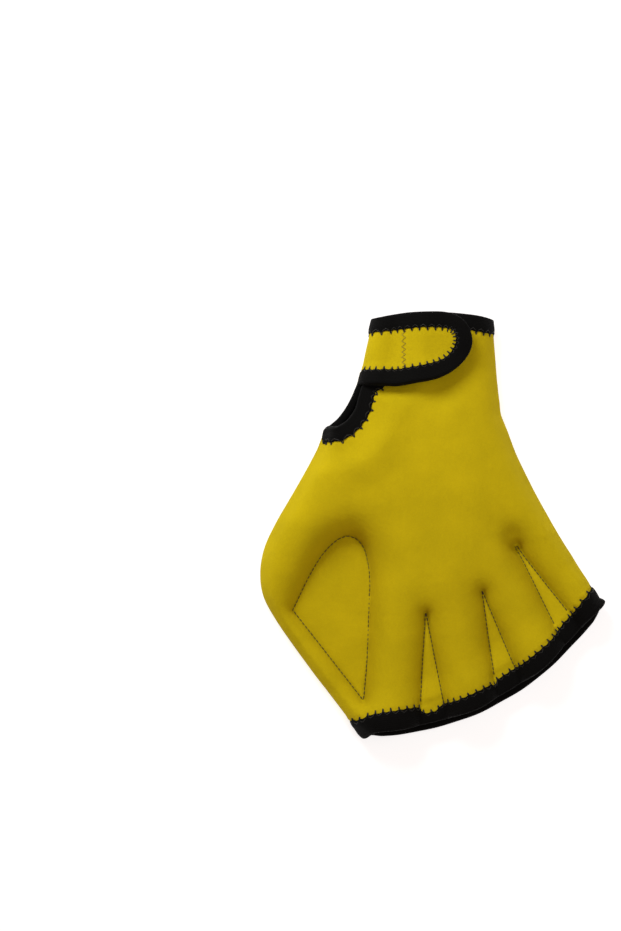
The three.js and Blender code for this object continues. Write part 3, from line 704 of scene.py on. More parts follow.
def relief(x, y, seed):
    """How far the seams and the cloth's own waves move the outer face, along its normal."""
    total = WAVE_DEPTH * waves(x, y, seed)
    gap = np.full(x.shape, 1e9)
    for line in seam_lines:
        gap = np.minimum(gap, nearest_on(line, x, y)[0])
    total -= SEAM_DEPTH * np.exp(-((gap / SEAM_WIDTH) ** 2))
    total -= PULL_DEPTH * np.exp(-((gap / PULL_WIDTH) ** 2))
    for (dent_x, dent_y), depth, reach in DENTS:
        far = np.hypot(x - dent_x, y - dent_y) / reach
        total -= depth * np.exp(-(far**2))
    return total


def tape_relief(points, pitch):
    """How the zigzag puckers the cloth beside every tape: puffed between teeth, pulled at them."""
    marks = [tape.marks(pitch) for tape in tapes()]
    places, ways, onwards, turns, rates = (np.concatenate(v) for v in zip(*marks))
    tree = KDTree(len(places))
    for i, place in enumerate(places):
        tree.insert(place, i)
    tree.balance()
    total = np.zeros(len(points))
    for i, p in enumerate(points):
        _, k, gap = tree.find(p)
        if gap > PUFF_REACH:
            continue
        apart = p - places[k]
        wave = math.cos(turns[k] + rates[k] * float(apart @ ways[k]))
        d = float(apart @ onwards[k])
        puff = math.exp(-(((d - PUFF_AT) / PUFF_WIDTH) ** 2)) * (1 + wave)
        tuck = math.exp(-(((d - TUCK_AT) / TUCK_WIDTH) ** 2)) * (1 - wave)
        total[i] = PUFF * (puff - tuck) / 2
    return total


def cloth_uv(grid):
    """Millimetres across and along the cloth."""
    step = np.linalg.norm(np.nan_to_num(np.diff(grid, axis=1)), axis=-1)
    run = np.concatenate([np.zeros((len(grid), 1)), np.cumsum(step, 1)], 1)
    middle = np.nanargmin(np.abs(grid[..., 0]), 1)
    run -= run[np.arange(len(grid)), middle][:, None]
    return np.stack([run, grid[..., 1]], -1)


def panel_piece(name, cloth, material, pitch, seed=None):
    there = ~np.isnan(cloth.outer[..., 0])
    outer = cloth.outer[there]
    normals = cloth.normals[there]
    inner = outer - normals * WALL
    moved = tape_relief(outer, pitch)
    if seed is not None:
        moved = moved + relief(outer[:, 0], outer[:, 1], seed)
    outer = outer + normals * moved[:, None]
    inner = inner + normals * np.minimum(moved, 0)[:, None]
    uv = cloth_uv(cloth.outer)[there]
    faces = cloth_faces(cloth.outer)
    return new_piece(name, np.vstack([outer, inner]), faces, material, np.vstack([uv, uv]))


# How far the flattened tape stands out at both ends of the finger edge
THUMB_CORNER = (2.8, -4.4)
LITTLE_CORNER = (3.6, -0.4)

# Places on the finger edge where a dart shortens the tape's arms: place, depth and reach
TAPE_DIPS = (
    ((0.5, -100.5), 2.9, 6.0),
    ((33.5, -86.5), 1.0, 3.0),
    ((68.0, -56.0), 0.9, 2.6),
    ((-38.0, -104.0), 1.8, 6.0),
    ((-17.0, -103.0), -2.2, 12.0),
)


# Steps along and across a tape, and how far its rows run on past its arm
RING_STEP = 0.8
DISTANCES = 20
BEYOND_ARM = 4.5

# Form of the folded and sewn tape
SCALLOP = 0.2
WANDER = 0.12
SWELL = 0.1
PRESSED, PRESSED_MORE = 0.22, 0.08
PRESSED_AT, PRESSED_WIDTH = 1.0, 0.8
END_SHARE = 0.45
NOSE_ROUND, NOSE_SQUARE = 0.7, 0.8
TAPE_GAP = 0.12
ARM_CELLS = 9
NOSE_CELLS = 10
CORNER_REACH = (7.0, 9.0)


# Folded tape over an edge
class Edge:
    """Places along a cloth's edge: the wall's middle, its normal, the way out and the cloth."""

    def __init__(self, cloth, places, back_places):
        rows, columns = np.array(places).T
        back_rows, back_columns = np.array(back_places).T
        self.points = cloth.middle[rows, columns]
        self.normals = cloth.normals[rows, columns]
        self.outs = unit(self.points - cloth.middle[back_rows, back_columns])
        self.clothes = [cloth] * len(self.points)


def joined(*edges):
    points = np.vstack([e.points for e in edges])
    normals = np.vstack([e.normals for e in edges])
    outs = np.vstack([e.outs for e in edges])
    clothes = sum((e.clothes for e in edges), [])
    return points, normals, outs, clothes


def resampled(path, spacing, is_loop):
    points, normals, outs, clothes = path
    if is_loop:
        points, normals, outs = (np.vstack([v, v[:1]]) for v in (points, normals, outs))
        clothes = clothes + clothes[:1]
    step = np.linalg.norm(np.diff(points, axis=0), axis=1)
    run = np.concatenate([[0], np.cumsum(step)])
    count = max(int(round(run[-1] / spacing)), 2)
    s = np.linspace(0, run[-1], count + 1)
    if is_loop:
        s = s[:-1]

    def at(values):
        return np.stack([np.interp(s, run, values[:, k]) for k in range(3)], -1)

    nearest = np.clip(np.searchsorted(run, s), 0, len(clothes) - 1)
    made = at(points), unit(at(normals)), unit(at(outs)), [clothes[i] for i in nearest]
    return s, run[-1], made


def neighbours(values, is_loop):
    """The value before and after each, which is itself at an open end."""
    before, after = np.roll(values, 1, 0), np.roll(values, -1, 0)
    if not is_loop:
        before[0], after[-1] = values[0], values[-1]
    return before, after


def softened(values, times, is_loop):
    for _ in range(times):
        before, after = neighbours(values, is_loop)
        values = (before + 2 * values + after) / 4
    return values


def settle(cloth, p, normal):
    place, found, _, _ = cloth.tree.find_nearest(p)
    if found.dot(normal) < 0:
        found.negate()
    return place, found


class Tape:
    """Tape laid over an edge: for each ring, the arm's places and normals by distance."""

    def __init__(self, path, is_loop, width, corners=(), dips=()):
        self.is_loop = is_loop
        self.s, self.length, (points, normals, outs, clothes) = resampled(path, RING_STEP, is_loop)
        before, after = neighbours(points, is_loop)
        square = unit(np.cross(after - before, normals))
        square *= np.sign((square * outs).sum())
        outs = unit(softened(square, 5, is_loop))
        outs = unit(outs - normals * (outs * normals).sum(-1, keepdims=True))
        self.normals = normals
        self.outs = outs
        self.points = points
        self.push = np.zeros_like(points)
        for place, way, reach in corners:
            gap = np.linalg.norm((points - place)[:, :2], axis=1)
            self.push += np.exp(-((gap / reach) ** 2))[:, None] * np.array([*way, 0])
        self.arm = np.full(len(points), width - TAPE_OUT)
        for place, depth, reach in dips:
            gap = np.hypot(points[:, 0] - place[0], points[:, 1] - place[1])
            self.arm -= depth * np.exp(-((gap / reach) ** 4))
        self.distances = np.linspace(0, width - TAPE_OUT + BEYOND_ARM, DISTANCES)
        step = self.distances[1]
        places = np.zeros((len(points), len(self.distances), 3))
        fronts = np.zeros_like(places)
        for i in range(len(points)):
            p = Vector(points[i])
            n = Vector(normals[i])
            heading = Vector(outs[i])
            places[i, 0] = p
            fronts[i, 0] = n
            for k in range(1, len(self.distances)):
                p, n = settle(clothes[i], p - heading * step, n)
                heading = (heading - n * heading.dot(n)).normalized()
                places[i, k] = p
                fronts[i, k] = n
        for k in range(len(self.distances)):
            fronts[:, k] = unit(softened(fronts[:, k], 4, is_loop))
            places[:, k] = softened(places[:, k], 2, is_loop)
        self.places = places
        self.fronts = fronts

    def phase(self, pitch):
        """The zigzag's turn at each ring, with whole turns round a loop."""
        turns = max(round(self.length / pitch), 1) if self.is_loop else self.length / pitch
        return 2 * math.pi * self.s * turns / self.length

    def marks(self, pitch):
        """Where the arm ends: places, ways along and onwards over the cloth, turns and their rate."""
        places = self.at(self.arm, 0)
        onwards = unit(self.places[:, -1] - self.at(self.arm - 1, 0))
        before, after = neighbours(places, self.is_loop)
        ways = unit(after - before)
        gap = np.linalg.norm(after - before, axis=1)
        turns = self.phase(pitch)
        rates = 4 * math.pi / pitch * self.s[1] / np.maximum(gap, 0.1)
        return places, ways, onwards, turns, rates

    def at(self, distance, height):
        """A point for each ring, at a distance in from the edge and a height over the middle."""
        distance = np.broadcast_to(distance, (len(self.points),))
        f = distance / self.distances[1]
        k = np.minimum(f.astype(int), len(self.distances) - 2)
        f = (f - k)[:, None]
        rows = np.arange(len(self.points))
        place = lerp(self.places[rows, k], self.places[rows, k + 1], f)
        front = unit(lerp(self.fronts[rows, k], self.fronts[rows, k + 1], f))
        return place + front * np.broadcast_to(height, (len(self.points),))[:, None]

    def nose(self, out, height):
        out = np.broadcast_to(out, (len(self.points),))[:, None]
        share = np.clip(out / TAPE_OUT, 0, 1)
        return self.points + self.outs * out + self.normals * height + self.push * share


def tape_piece(name, tape, material, wall, pitch):
    """The folded tape as a closed mesh with a rounded nose and stitched-down arms."""
    inner = WALL / 2 + TAPE_GAP
    outer = inner + wall
    wave = np.cos(tape.phase(pitch))
    slow = np.sin(2 * math.pi * tape.s / 37 + 1) + np.sin(2 * math.pi * tape.s / 23)
    arm = tape.arm - SCALLOP * wave + WANDER * slow

    def top(sign):
        made = []
        for k in range(ARM_CELLS + 1):
            f = k / ARM_CELLS
            distance = arm * (1 - f)
            near_stitch = np.exp(-((arm - distance - PRESSED_AT) / PRESSED_WIDTH) ** 2)
            height = outer + SWELL * np.sin(math.pi * f) - near_stitch * (PRESSED + PRESSED_MORE * wave)
            if k == 0:
                height = inner + END_SHARE * wall
            made.append(tape.at(distance, sign * height))
        return made

    upper = top(1)
    lower = top(-1)[::-1]
    nose = []
    for k in range(1, NOSE_CELLS):
        angle = math.pi * k / NOSE_CELLS
        out = TAPE_OUT * math.sin(angle) ** NOSE_ROUND
        height = outer * math.copysign(abs(math.cos(angle)) ** NOSE_SQUARE, math.cos(angle))
        nose.append(tape.nose(out + WANDER * slow * math.sin(angle), height))
    inside_points = []
    for sign, order in ((-1, range(0, 5)), (1, range(4, -1, -1))):
        for k in order:
            distance = arm * (1 - k / 4) if k < 4 else 0 * arm
            inside_points.append(tape.at(distance, sign * inner))
    rings = np.stack(upper + nose + lower + inside_points, 1)
    count, size = rings.shape[:2]
    around = np.linalg.norm(np.diff(rings, axis=1), axis=-1).mean(0)
    spans = np.concatenate([[0], np.cumsum(around)])
    uv = np.stack(np.broadcast_arrays(spans[None, :], tape.s[:, None]), -1)
    n = np.arange(count * size).reshape(count, size)
    if tape.is_loop:
        n = np.vstack([n, n[:1]])
    n = np.hstack([n, n[:, :1]])
    faces = quads(n).reshape(-1, 4)
    points = rings.reshape(-1, 3)
    if not tape.is_loop:
        half = size // 2
        caps = []
        for ring, flip in ((n[0, :-1], False), (n[-1, :-1], True)):
            for k in range(half - 1):
                quad = [ring[k], ring[k + 1], ring[size - 2 - k], ring[size - 1 - k]]
                caps.append(quad[::-1] if flip else quad)
        faces = np.vstack([faces, np.array(caps)])
    return new_piece(name, points, faces, material, uv.reshape(-1, 2), 50)


def tube(points, normals, radius):
    """Rings of a thread that follows points, and its faces, with its ends closed."""
    sides = 6
    before, after = neighbours(points, False)
    way = unit(after - before)
    side = unit(np.cross(way, normals))
    up = np.cross(side, way)
    turn = np.linspace(0, 2 * math.pi, sides, endpoint=False)
    radius = np.broadcast_to(radius, (len(points),))[:, None, None]
    ring = (side[:, None] * np.cos(turn)[:, None] + up[:, None] * np.sin(turn)[:, None]) * radius
    rings = points[:, None] + ring
    n = np.arange(rings.shape[0] * sides).reshape(-1, sides)
    n = np.hstack([n, n[:, :1]])
    faces = quads(n).reshape(-1, 4)
    caps = np.array([
        [n[0, k], n[0, k + 1], n[0, sides - 2 - k], n[0, sides - 1 - k]] for k in range(sides // 2 - 1)
    ] + [
        [n[-1, sides - 1 - k], n[-1, sides - 2 - k], n[-1, k + 1], n[-1, k]]
        for k in range(sides // 2 - 1)
    ])
    return rings.reshape(-1, 3), np.vstack([faces, caps])


def merged(parts):
    points, faces, start = [], [], 0
    for p, f in parts:
        points.append(p)
        faces.append(f + start)
        start += len(p)
    return np.vstack(points), np.vstack(faces)


# The zigzag's turns: share of its pitch, and how far it is from the tape's edge onto the cloth
ZIGZAG = ((0.0, -1.0), (0.3, -0.45), (0.42, 0.0), (0.47, 0.8), (0.5, 1.0), (0.53, 0.8), (0.58, 0.0),
          (0.7, -0.45))
ZIGZAG_REST = 0.3
ZIGZAG_SUNK = 0.1
ZIGZAG_KNOT = 1.25


def zigzag(tape, wall, pitch, tooth, thread, sign):
    """The zigzag of thread over a tape's arm: from the tape out onto the cloth and back."""
    outer = WALL / 2 + TAPE_GAP + wall
    fronts = tape.fronts[:, -1] * sign
    levels = sorted({out for _, out in ZIGZAG})
    tracks = {}
    for out in levels:
        on_tape = smooth((0.4 - out) / 1.2)
        height = lerp(WALL / 2 + ZIGZAG_REST * thread, outer - ZIGZAG_SUNK, on_tape)
        tracks[out] = tape.at(tape.arm + out * tooth, sign * height)
    turns = tape.phase(pitch) / (2 * math.pi)
    count = int(turns[-1])
    places = np.array([k + share for k in range(count) for share, _ in ZIGZAG])
    kinds = [out for _ in range(count) for _, out in ZIGZAG]

    def follow(values):
        return np.stack([np.interp(places, turns, values[:, k]) for k in range(3)], -1)

    followed = {out: follow(values) for out, values in tracks.items()}
    points = np.array([followed[out][i] for i, out in enumerate(kinds)])
    radius = thread / 2 * np.array([ZIGZAG_KNOT if out > 0.5 else 1.0 for out in kinds])
    return tube(points, unit(follow(fronts)), radius)


def seam_path(line, spacing, start, end):
    """Points at equal steps along a flat polyline, and their run."""
    step = np.linalg.norm(np.diff(line, axis=0), axis=1)
    run = np.concatenate([[0], np.cumsum(step)])
    s = np.arange(start, run[-1] - end, spacing)
    return s, lambda v: np.stack([np.interp(v, run, line[:, k]) for k in (0, 1)], -1)


def outer_place(x, y, height, sign):
    """Points on a panel's outer face with their normals."""
    step = 0.6
    dx = (height(x + step, y) - height(x - step, y)) / (2 * step)
    dy = (height(x, y + step) - height(x, y - step)) / (2 * step)
    normals = unit(np.stack([-dx, -dy, np.ones_like(dx)], -1)) * sign
    return np.stack([x, y, height(x, y)], -1), normals


def stitches(height, seed, sign, long, gap, thread):
    """Lockstitches along the darts and the web, laid in the seam's groove."""
    f = np.linspace(0, 1, len(STITCH_THICKNESS))
    radius = thread / 2 * np.array(STITCH_THICKNESS)
    parts = []
    for line in seam_lines:
        s, at = seam_path(line, long + gap, STITCH_START, long)
        for a in s:
            x, y = at(a + f * long).T
            points, normals = outer_place(x, y, height, sign)
            lift = relief(x, y, seed) + STITCH_LIFT + STITCH_ARCH * np.sin(math.pi * f)
            parts.append(tube(points + normals * lift[:, None], normals, radius))
    return merged(parts)


# Materials
def node(tree, kind, **sockets):
    made = tree.nodes.new(kind)
    for name, value in sockets.items():
        if hasattr(made, name):
            setattr(made, name, value)
        else:
            made.inputs[name.replace("_", " ")].default_value = value
    return made


def wire(tree, *pairs):
    for source, target in pairs:
        tree.links.new(source, target)


def maths(tree, operation, a, b=None, c=None):
    made = tree.nodes.new("ShaderNodeMath")
    made.operation = operation
    for i, value in enumerate((a, b, c)):
        if value is None:
            continue
        if isinstance(value, (int, float)):
            made.inputs[i].default_value = value
        else:
            tree.links.new(value, made.inputs[i])
    return made.outputs[0]


def new_group(name, inputs, outputs):
    tree = bpy.data.node_groups.new(name, "ShaderNodeTree")
    for label, kind, default in inputs:
        socket = tree.interface.new_socket(label, in_out="INPUT", socket_type="NodeSocket" + kind)
        if default is not None:
            socket.default_value = default
    for label, kind in outputs:
        tree.interface.new_socket(label, in_out="OUTPUT", socket_type="NodeSocket" + kind)
    return tree, tree.nodes.new("NodeGroupInput"), tree.nodes.new("NodeGroupOutput")


def knit_group():
    """Fine knitted loops: columns of small V shapes, as a height from 0 to 1."""
    tree, start, end = new_group(
        "Knit loops",
        [("Vector", "Vector", None), ("Wale", "Float", 0.0006), ("Course", "Float", 0.00045)],
        [("Height", "Float")],
    )
    split = tree.nodes.new("ShaderNodeSeparateXYZ")
    wire(tree, (start.outputs["Vector"], split.inputs[0]))
    wale = maths(tree, "DIVIDE", split.outputs[0], start.outputs["Wale"])
    course = maths(tree, "DIVIDE", split.outputs[1], start.outputs["Course"])
    zig = maths(tree, "PINGPONG", wale, 0.5)
    row = maths(tree, "ADD", course, zig)
    loops = maths(tree, "MULTIPLY", row, 2 * math.pi)
    loops = maths(tree, "SINE", loops)
    ribs = maths(tree, "MULTIPLY", wale, 2 * math.pi)
    ribs = maths(tree, "COSINE", ribs)
    total = maths(tree, "MULTIPLY_ADD", ribs, 0.3, 0.5)
    total = maths(tree, "MULTIPLY_ADD", loops, 0.2, total)
    wire(tree, (total, end.inputs["Height"]))
    return tree


def fuzz_group():
    """Uneven grain of cloth: a shade around 1 and a height."""
    tree, start, end = new_group(
        "Cloth grain",
        [("Vector", "Vector", None), ("Size", "Float", 900.0), ("Depth", "Float", 0.1)],
        [("Shade", "Float"), ("Height", "Float"), ("Pebbles", "Float")],
    )
    fine = node(tree, "ShaderNodeTexNoise", Detail=3.0, Roughness=0.6)
    broad = node(tree, "ShaderNodeTexNoise", Detail=2.0, Roughness=0.5, Scale=55.0)
    pebbles = node(tree, "ShaderNodeTexNoise", Detail=1.0, Roughness=0.5, Scale=380.0)
    wire(
        tree,
        (start.outputs["Vector"], fine.inputs["Vector"]),
        (start.outputs["Size"], fine.inputs["Scale"]),
        (start.outputs["Vector"], broad.inputs["Vector"]),
        (start.outputs["Vector"], pebbles.inputs["Vector"]),
    )
    both = maths(tree, "MULTIPLY_ADD", broad.outputs[0], 0.6, maths(tree, "MULTIPLY", fine.outputs[0], 0.4))
    centred = maths(tree, "SUBTRACT", both, 0.5)
    shade = maths(tree, "MULTIPLY_ADD", centred, start.outputs["Depth"], 1.0)
    wire(
        tree,
        (shade, end.inputs["Shade"]),
        (fine.outputs[0], end.inputs["Height"]),
        (pebbles.outputs[0], end.inputs["Pebbles"]),
    )
    return tree


def cloth_material(name, colour, knit, grain, wale, depth, size, roughness, bump, sheen, tint, gloss,
                   pebbles):
    material = bpy.data.materials.new(name)
    material.use_nodes = True
    tree = material.node_tree
    shader = tree.nodes["Principled BSDF"]
    coordinates = tree.nodes.new("ShaderNodeTexCoord")
    loops = node(tree, "ShaderNodeGroup", node_tree=knit)
    loops.inputs["Wale"].default_value = wale
    loops.inputs["Course"].default_value = wale * 0.8
    fuzz = node(tree, "ShaderNodeGroup", node_tree=grain)
    fuzz.inputs["Size"].default_value = size
    fuzz.inputs["Depth"].default_value = depth
    wire(
        tree,
        (coordinates.outputs["UV"], loops.inputs["Vector"]),
        (coordinates.outputs["Object"], fuzz.inputs["Vector"]),
    )
    tone = node(tree, "ShaderNodeMix", data_type="RGBA", blend_type="MULTIPLY")
    tone.inputs["Factor"].default_value = 1.0
    tone.inputs["A"].default_value = (*colour, 1)
    shade = tree.nodes.new("ShaderNodeCombineColor")
    # Painted shade: the knit's loops darken the colour where they lie low, in the hollows between loops.
    # This is multiplied by the cloth's own uneven grain.
    painted_knit_shade = maths(tree, "MULTIPLY_ADD", loops.outputs["Height"], 0.12, 0.94)
    total = maths(tree, "MULTIPLY", painted_knit_shade, fuzz.outputs["Shade"])
    wire(tree, *[(total, shade.inputs[k]) for k in range(3)])
    wire(tree, (shade.outputs[0], tone.inputs["B"]), (tone.outputs["Result"], shader.inputs["Base Color"]))
    rough = maths(tree, "MULTIPLY_ADD", fuzz.outputs["Height"], 0.12, roughness - 0.06)
    wire(tree, (rough, shader.inputs["Roughness"]))
    height = maths(tree, "MULTIPLY_ADD", fuzz.outputs["Height"], 0.6, loops.outputs["Height"])
    height = maths(tree, "MULTIPLY_ADD", fuzz.outputs["Pebbles"], pebbles, height)
    relief_node = node(tree, "ShaderNodeBump", Strength=bump, Distance=0.00025)
    wire(tree, (height, relief_node.inputs["Height"]), (relief_node.outputs[0], shader.inputs["Normal"]))
    shader.inputs["Sheen Weight"].default_value = sheen
    shader.inputs["Sheen Roughness"].default_value = 0.5
    shader.inputs["Sheen Tint"].default_value = (*tint, 1)
    shader.inputs["Specular IOR Level"].default_value = gloss
    return material


def thread_material(name, colour):
    material = bpy.data.materials.new(name)
    material.use_nodes = True
    tree = material.node_tree
    shader = tree.nodes["Principled BSDF"]
    coordinates = tree.nodes.new("ShaderNodeTexCoord")
    twist = node(tree, "ShaderNodeTexNoise", Scale=2500.0, Detail=2.0)
    ramp = tree.nodes.new("ShaderNodeValToRGB")
    ramp.color_ramp.elements[0].color = (*[c * 0.6 for c in colour], 1)
    ramp.color_ramp.elements[1].color = (*[min(c * 1.5, 1) for c in colour], 1)
    bump = node(tree, "ShaderNodeBump", Strength=0.4, Distance=0.0001)
    wire(
        tree,
        (coordinates.outputs["Object"], twist.inputs["Vector"]),
        (twist.outputs[0], ramp.inputs[0]),
        (ramp.outputs[0], shader.inputs["Base Color"]),
        (twist.outputs[0], bump.inputs["Height"]),
        (bump.outputs[0], shader.inputs["Normal"]),
    )
    shader.inputs["Roughness"].default_value = 0.6
    return material


def length_of(name, description, default):
    return bpy.props.FloatProperty(name=name, description=description, default=default, unit="LENGTH")


def colour_of(name, description, default):
    return bpy.props.FloatVectorProperty(
        name=name, description=description, subtype="COLOR", default=default, min=0, max=1)


class GloveSizes(bpy.types.PropertyGroup):
    tape_width: length_of("Tape width", "How far the folded tape reaches over the cloth", 0.0083)
    tape_wall: length_of("Tape thickness", "Thickness of the folded tape", 0.0009)
    zigzag_pitch: length_of("Zigzag pitch", "Length of one zigzag of the tape's stitching", 0.0041)
    zigzag_tooth: length_of("Zigzag tooth", "How far the zigzag reaches onto the cloth", 0.0015)
    thread: length_of("Thread", "Thickness of the thread", 0.00045)
    stitch: length_of("Stitch", "Length of one stitch of the seams", 0.0019)


class GloveColours(bpy.types.PropertyGroup):
    jersey: colour_of("Jersey", "Colour of the knitted face", (0.59, 0.467, 0.0058))
    tape: colour_of("Tape", "Colour of the edge tape", (0.004, 0.0042, 0.004))
    seam_thread: colour_of("Seam thread", "Colour of the thread of darts and web", (0.045, 0.03, 0.008))
    strap_thread: colour_of("Strap thread", "Colour of the thread across the strap", (0.2, 0.14, 0.01))
    floor: colour_of("Floor", "Colour of the studio floor", (0.6, 0.6, 0.6))


# Finishes of cloth: label, its colour's property, and the looks
CLOTHS = {
    "jersey": ("Knit jersey", "jersey", {
        "wale": 0.0006, "depth": 0.5, "size": 1100.0, "roughness": 0.85, "bump": 0.35, "sheen": 0.06,
        "tint": (1.0, 0.85, 0.12), "gloss": 0.04, "pebbles": 2.2}),
    "tape": ("Ribbed tape", "tape", {
        "wale": 0.0008, "depth": 0.9, "size": 900.0, "roughness": 0.7, "bump": 0.6, "sheen": 0.01,
        "tint": (0.8, 0.82, 0.85), "gloss": 0.035, "pebbles": 0.0}),
    "hooks": ("Hook tape", "tape", {
        "wale": 0.0012, "depth": 0.6, "size": 1300.0, "roughness": 0.6, "bump": 1.0, "sheen": 0.0,
        "tint": (0.8, 0.8, 0.8), "gloss": 0.25, "pebbles": 0.0}),
}
THREADS = {
    "tape_thread": ("Tape thread", "tape"),
    "seam_thread": ("Seam thread", "seam_thread"),
    "strap_thread": ("Strap thread", "strap_thread"),
}
made = {}


def finish_named(name):
    """A material by name, made once."""
    if name in made:
        return made[name]
    colours = bpy.context.scene.glove_colours
    if "knit" not in made:
        made["knit"] = knit_group()
        made["grain"] = fuzz_group()
    if name in THREADS:
        label, colour = THREADS[name]
        made[name] = thread_material(label, getattr(colours, colour))
    else:
        label, colour, looks = CLOTHS[name]
        made[name] = cloth_material(label, getattr(colours, colour), made["knit"], made["grain"], **looks)
    return made[name]


def clothes():
    """The three panels' shapes, made once."""
    if "back" not in made:
        grid = back_grid()
        made["back"] = Cloth(grid, facing(grid, -1, 0))
        grid = palm_grid()
        first = STRAP_CELLS + FOLD_CELLS
        made["palm"] = Cloth(grid, facing(grid, 1, first))
        grid = strap_grid()
        step = 0.4
        t, x = shares_down[:, None] * STRAP, grid[..., 0]
        wide = strap_point(t, x + step) - strap_point(t, x - step)
        tall = strap_point(t - step, x) - strap_point(t + step, x)
        made["strap"] = Cloth(grid, unit(np.cross(wide, tall)))
    return made["back"], made["palm"], made["strap"]


def tapes():
    """The laid tapes, made once: round the fingers, round wrist and strap, and in the slit."""
    if "finger" in made:
        return made["finger"], made["wrist"], made["slit"]
    back, palm, strap = clothes()
    width = bpy.context.scene.glove_sizes.tape_width / MM
    last = len(ROWS) - 1
    first = STRAP_CELLS + FOLD_CELLS
    columns = back.outer.shape[1]
    palm_columns = palm.outer.shape[1]

    def edge(cloth, places, dr, dc):
        return Edge(cloth, places, [(r + dr, c + dc) for r, c in places])

    corners = (
        (back.outer[-1, 0], THUMB_CORNER, CORNER_REACH[0]),
        (back.outer[-1, -1], LITTLE_CORNER, CORNER_REACH[1]),
    )
    made["finger"] = Tape(
        joined(
            edge(back, [(last, c) for c in range(columns)], -1, 0),
            edge(palm, [(last, c) for c in range(palm_columns - 1, first - 1, -1)], -1, 0),
        ),
        True, width, corners, TAPE_DIPS)
    tip = strap.outer.shape[1] - 1
    over_fold = [(STRAP_ROW, c) for c in range(1, first)]
    made["wrist"] = Tape(
        joined(
            edge(back, [(0, c) for c in range(columns)], 1, 0),
            edge(palm, [(0, c) for c in range(palm_columns - 1, -1, -1)], 1, 0),
            edge(strap, [(0, c) for c in range(1, tip)], 1, 0),
            edge(strap, [(r, tip) for r in range(STRAP_ROW + 1)], 0, -1),
            edge(strap, [(STRAP_ROW, c) for c in range(tip - 1, 0, -1)], -1, 0),
            edge(palm, over_fold, -1, 0),
            edge(palm, [(r, first) for r in range(STRAP_ROW + 1, SLIT_ROW + 1)], 0, 1),
        ),
        False, width)
    made["slit"] = Tape(
        joined(edge(back, [(r, 0) for r in range(SLIT_ROW, 3, -1)], 0, 1)), False, width)
    return made["finger"], made["wrist"], made["slit"]


class GLOVE_OT_panels(bpy.types.Operator):
    """Makes the back panel, the palm panel and the strap as knitted cloth with sewn relief"""

    bl_idname = "glove.panels"
    bl_label = "Panels"

    def execute(self, context):
        pitch = context.scene.glove_sizes.zigzag_pitch / MM
        back, palm, strap = clothes()
        jersey = finish_named("jersey")
        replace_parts(panel_piece("back_cloth", back, jersey, pitch, BACK_SEED), "back_panel")
        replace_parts(panel_piece("palm_cloth", palm, jersey, pitch, PALM_SEED), "palm_panel")
        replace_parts(panel_piece("strap_cloth", strap, jersey, pitch), "wrist_strap")
        return {"FINISHED"}


class GLOVE_OT_edge_tapes(bpy.types.Operator):
    """Folds the black tape over every free edge"""

    bl_idname = "glove.edge_tapes"
    bl_label = "Edge tapes"

    def execute(self, context):
        sizes = context.scene.glove_sizes
        wall, pitch = sizes.tape_wall / MM, sizes.zigzag_pitch / MM
        finger, wrist, slit = tapes()
        tape = finish_named("tape")
        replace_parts(tape_piece("finger_tape", finger, tape, wall, pitch), "finger_binding")
        wrist_tape = tape_piece("wrist_tape", wrist, tape, wall, pitch)
        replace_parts(wrist_tape, "wrist_binding", "slit_palm_binding")
        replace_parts(tape_piece("slit_tape", slit, tape, wall, pitch), "slit_back_binding")
        return {"FINISHED"}


class GLOVE_OT_tape_stitches(bpy.types.Operator):
    """Sews the zigzag along every tape, on both faces"""

    bl_idname = "glove.tape_stitches"
    bl_label = "Tape stitches"

    def execute(self, context):
        sizes = context.scene.glove_sizes
        lengths = (sizes.tape_wall, sizes.zigzag_pitch, sizes.zigzag_tooth, sizes.thread)
        lengths = [length / MM for length in lengths]
        for name, tape in zip(("finger", "wrist", "slit"), tapes()):
            points, faces = merged([zigzag(tape, *lengths, sign) for sign in (1, -1)])
            new_piece(name + "_zigzag", points, faces, finish_named("tape_thread"))
        return {"FINISHED"}


class GLOVE_OT_seam_stitches(bpy.types.Operator):
    """Sews the darts, the web beside the thumb and the strap's butt seam"""

    bl_idname = "glove.seam_stitches"
    bl_label = "Seam stitches"

    def execute(self, context):
        sizes = context.scene.glove_sizes
        stitch, thread = sizes.stitch / MM, sizes.thread / MM
        for name, height, seed, sign in (
            ("back_seams", back_height, BACK_SEED, 1),
            ("palm_seams", palm_height, PALM_SEED, -1),
        ):
            points, faces = stitches(height, seed, sign, stitch, STITCH_GAP, thread)
            new_piece(name, points, faces, finish_named("seam_thread"))
        points, faces = strap_stitches(STRAP_THREAD * thread)
        new_piece("strap_seam", points, faces, finish_named("strap_thread"))
        return {"FINISHED"}


def strap_stitches(thread):
    """The zigzag that joins palm panel and strap edge to edge, between the strap's tapes."""
    top, bottom = strap_point(SEAM_SPAN, STRAP_SEAM)
    count = int(np.linalg.norm(bottom - top) / SEAM_STEP)
    turns = np.arange(count)
    side = np.where(turns % 2, 0.5, -0.5) * SEAM_SWING
    corners = strap_point(np.linspace(*SEAM_SPAN, count), STRAP_SEAM + side)
    fine = np.linspace(0, count - 1, 4 * count)
    points = np.stack([np.interp(fine, turns, corners[:, k]) for k in range(3)], -1)
    points[:, 2] += SEAM_ARCH * np.abs(np.cos(math.pi * fine)) - SEAM_SUNK
    return tube(points, np.tile([0.0, 0.0, 1.0], (len(fine), 1)), thread / 2)


class GLOVE_OT_hook_patch(bpy.types.Operator):
    """Gives the hook patch its finish"""

    bl_idname = "glove.hook_patch"
    bl_label = "Hook patch"

    def execute(self, context):
        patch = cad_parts["hook_patch"]
        patch.data.materials.clear()
        patch.data.materials.append(finish_named("hooks"))
        return {"FINISHED"}


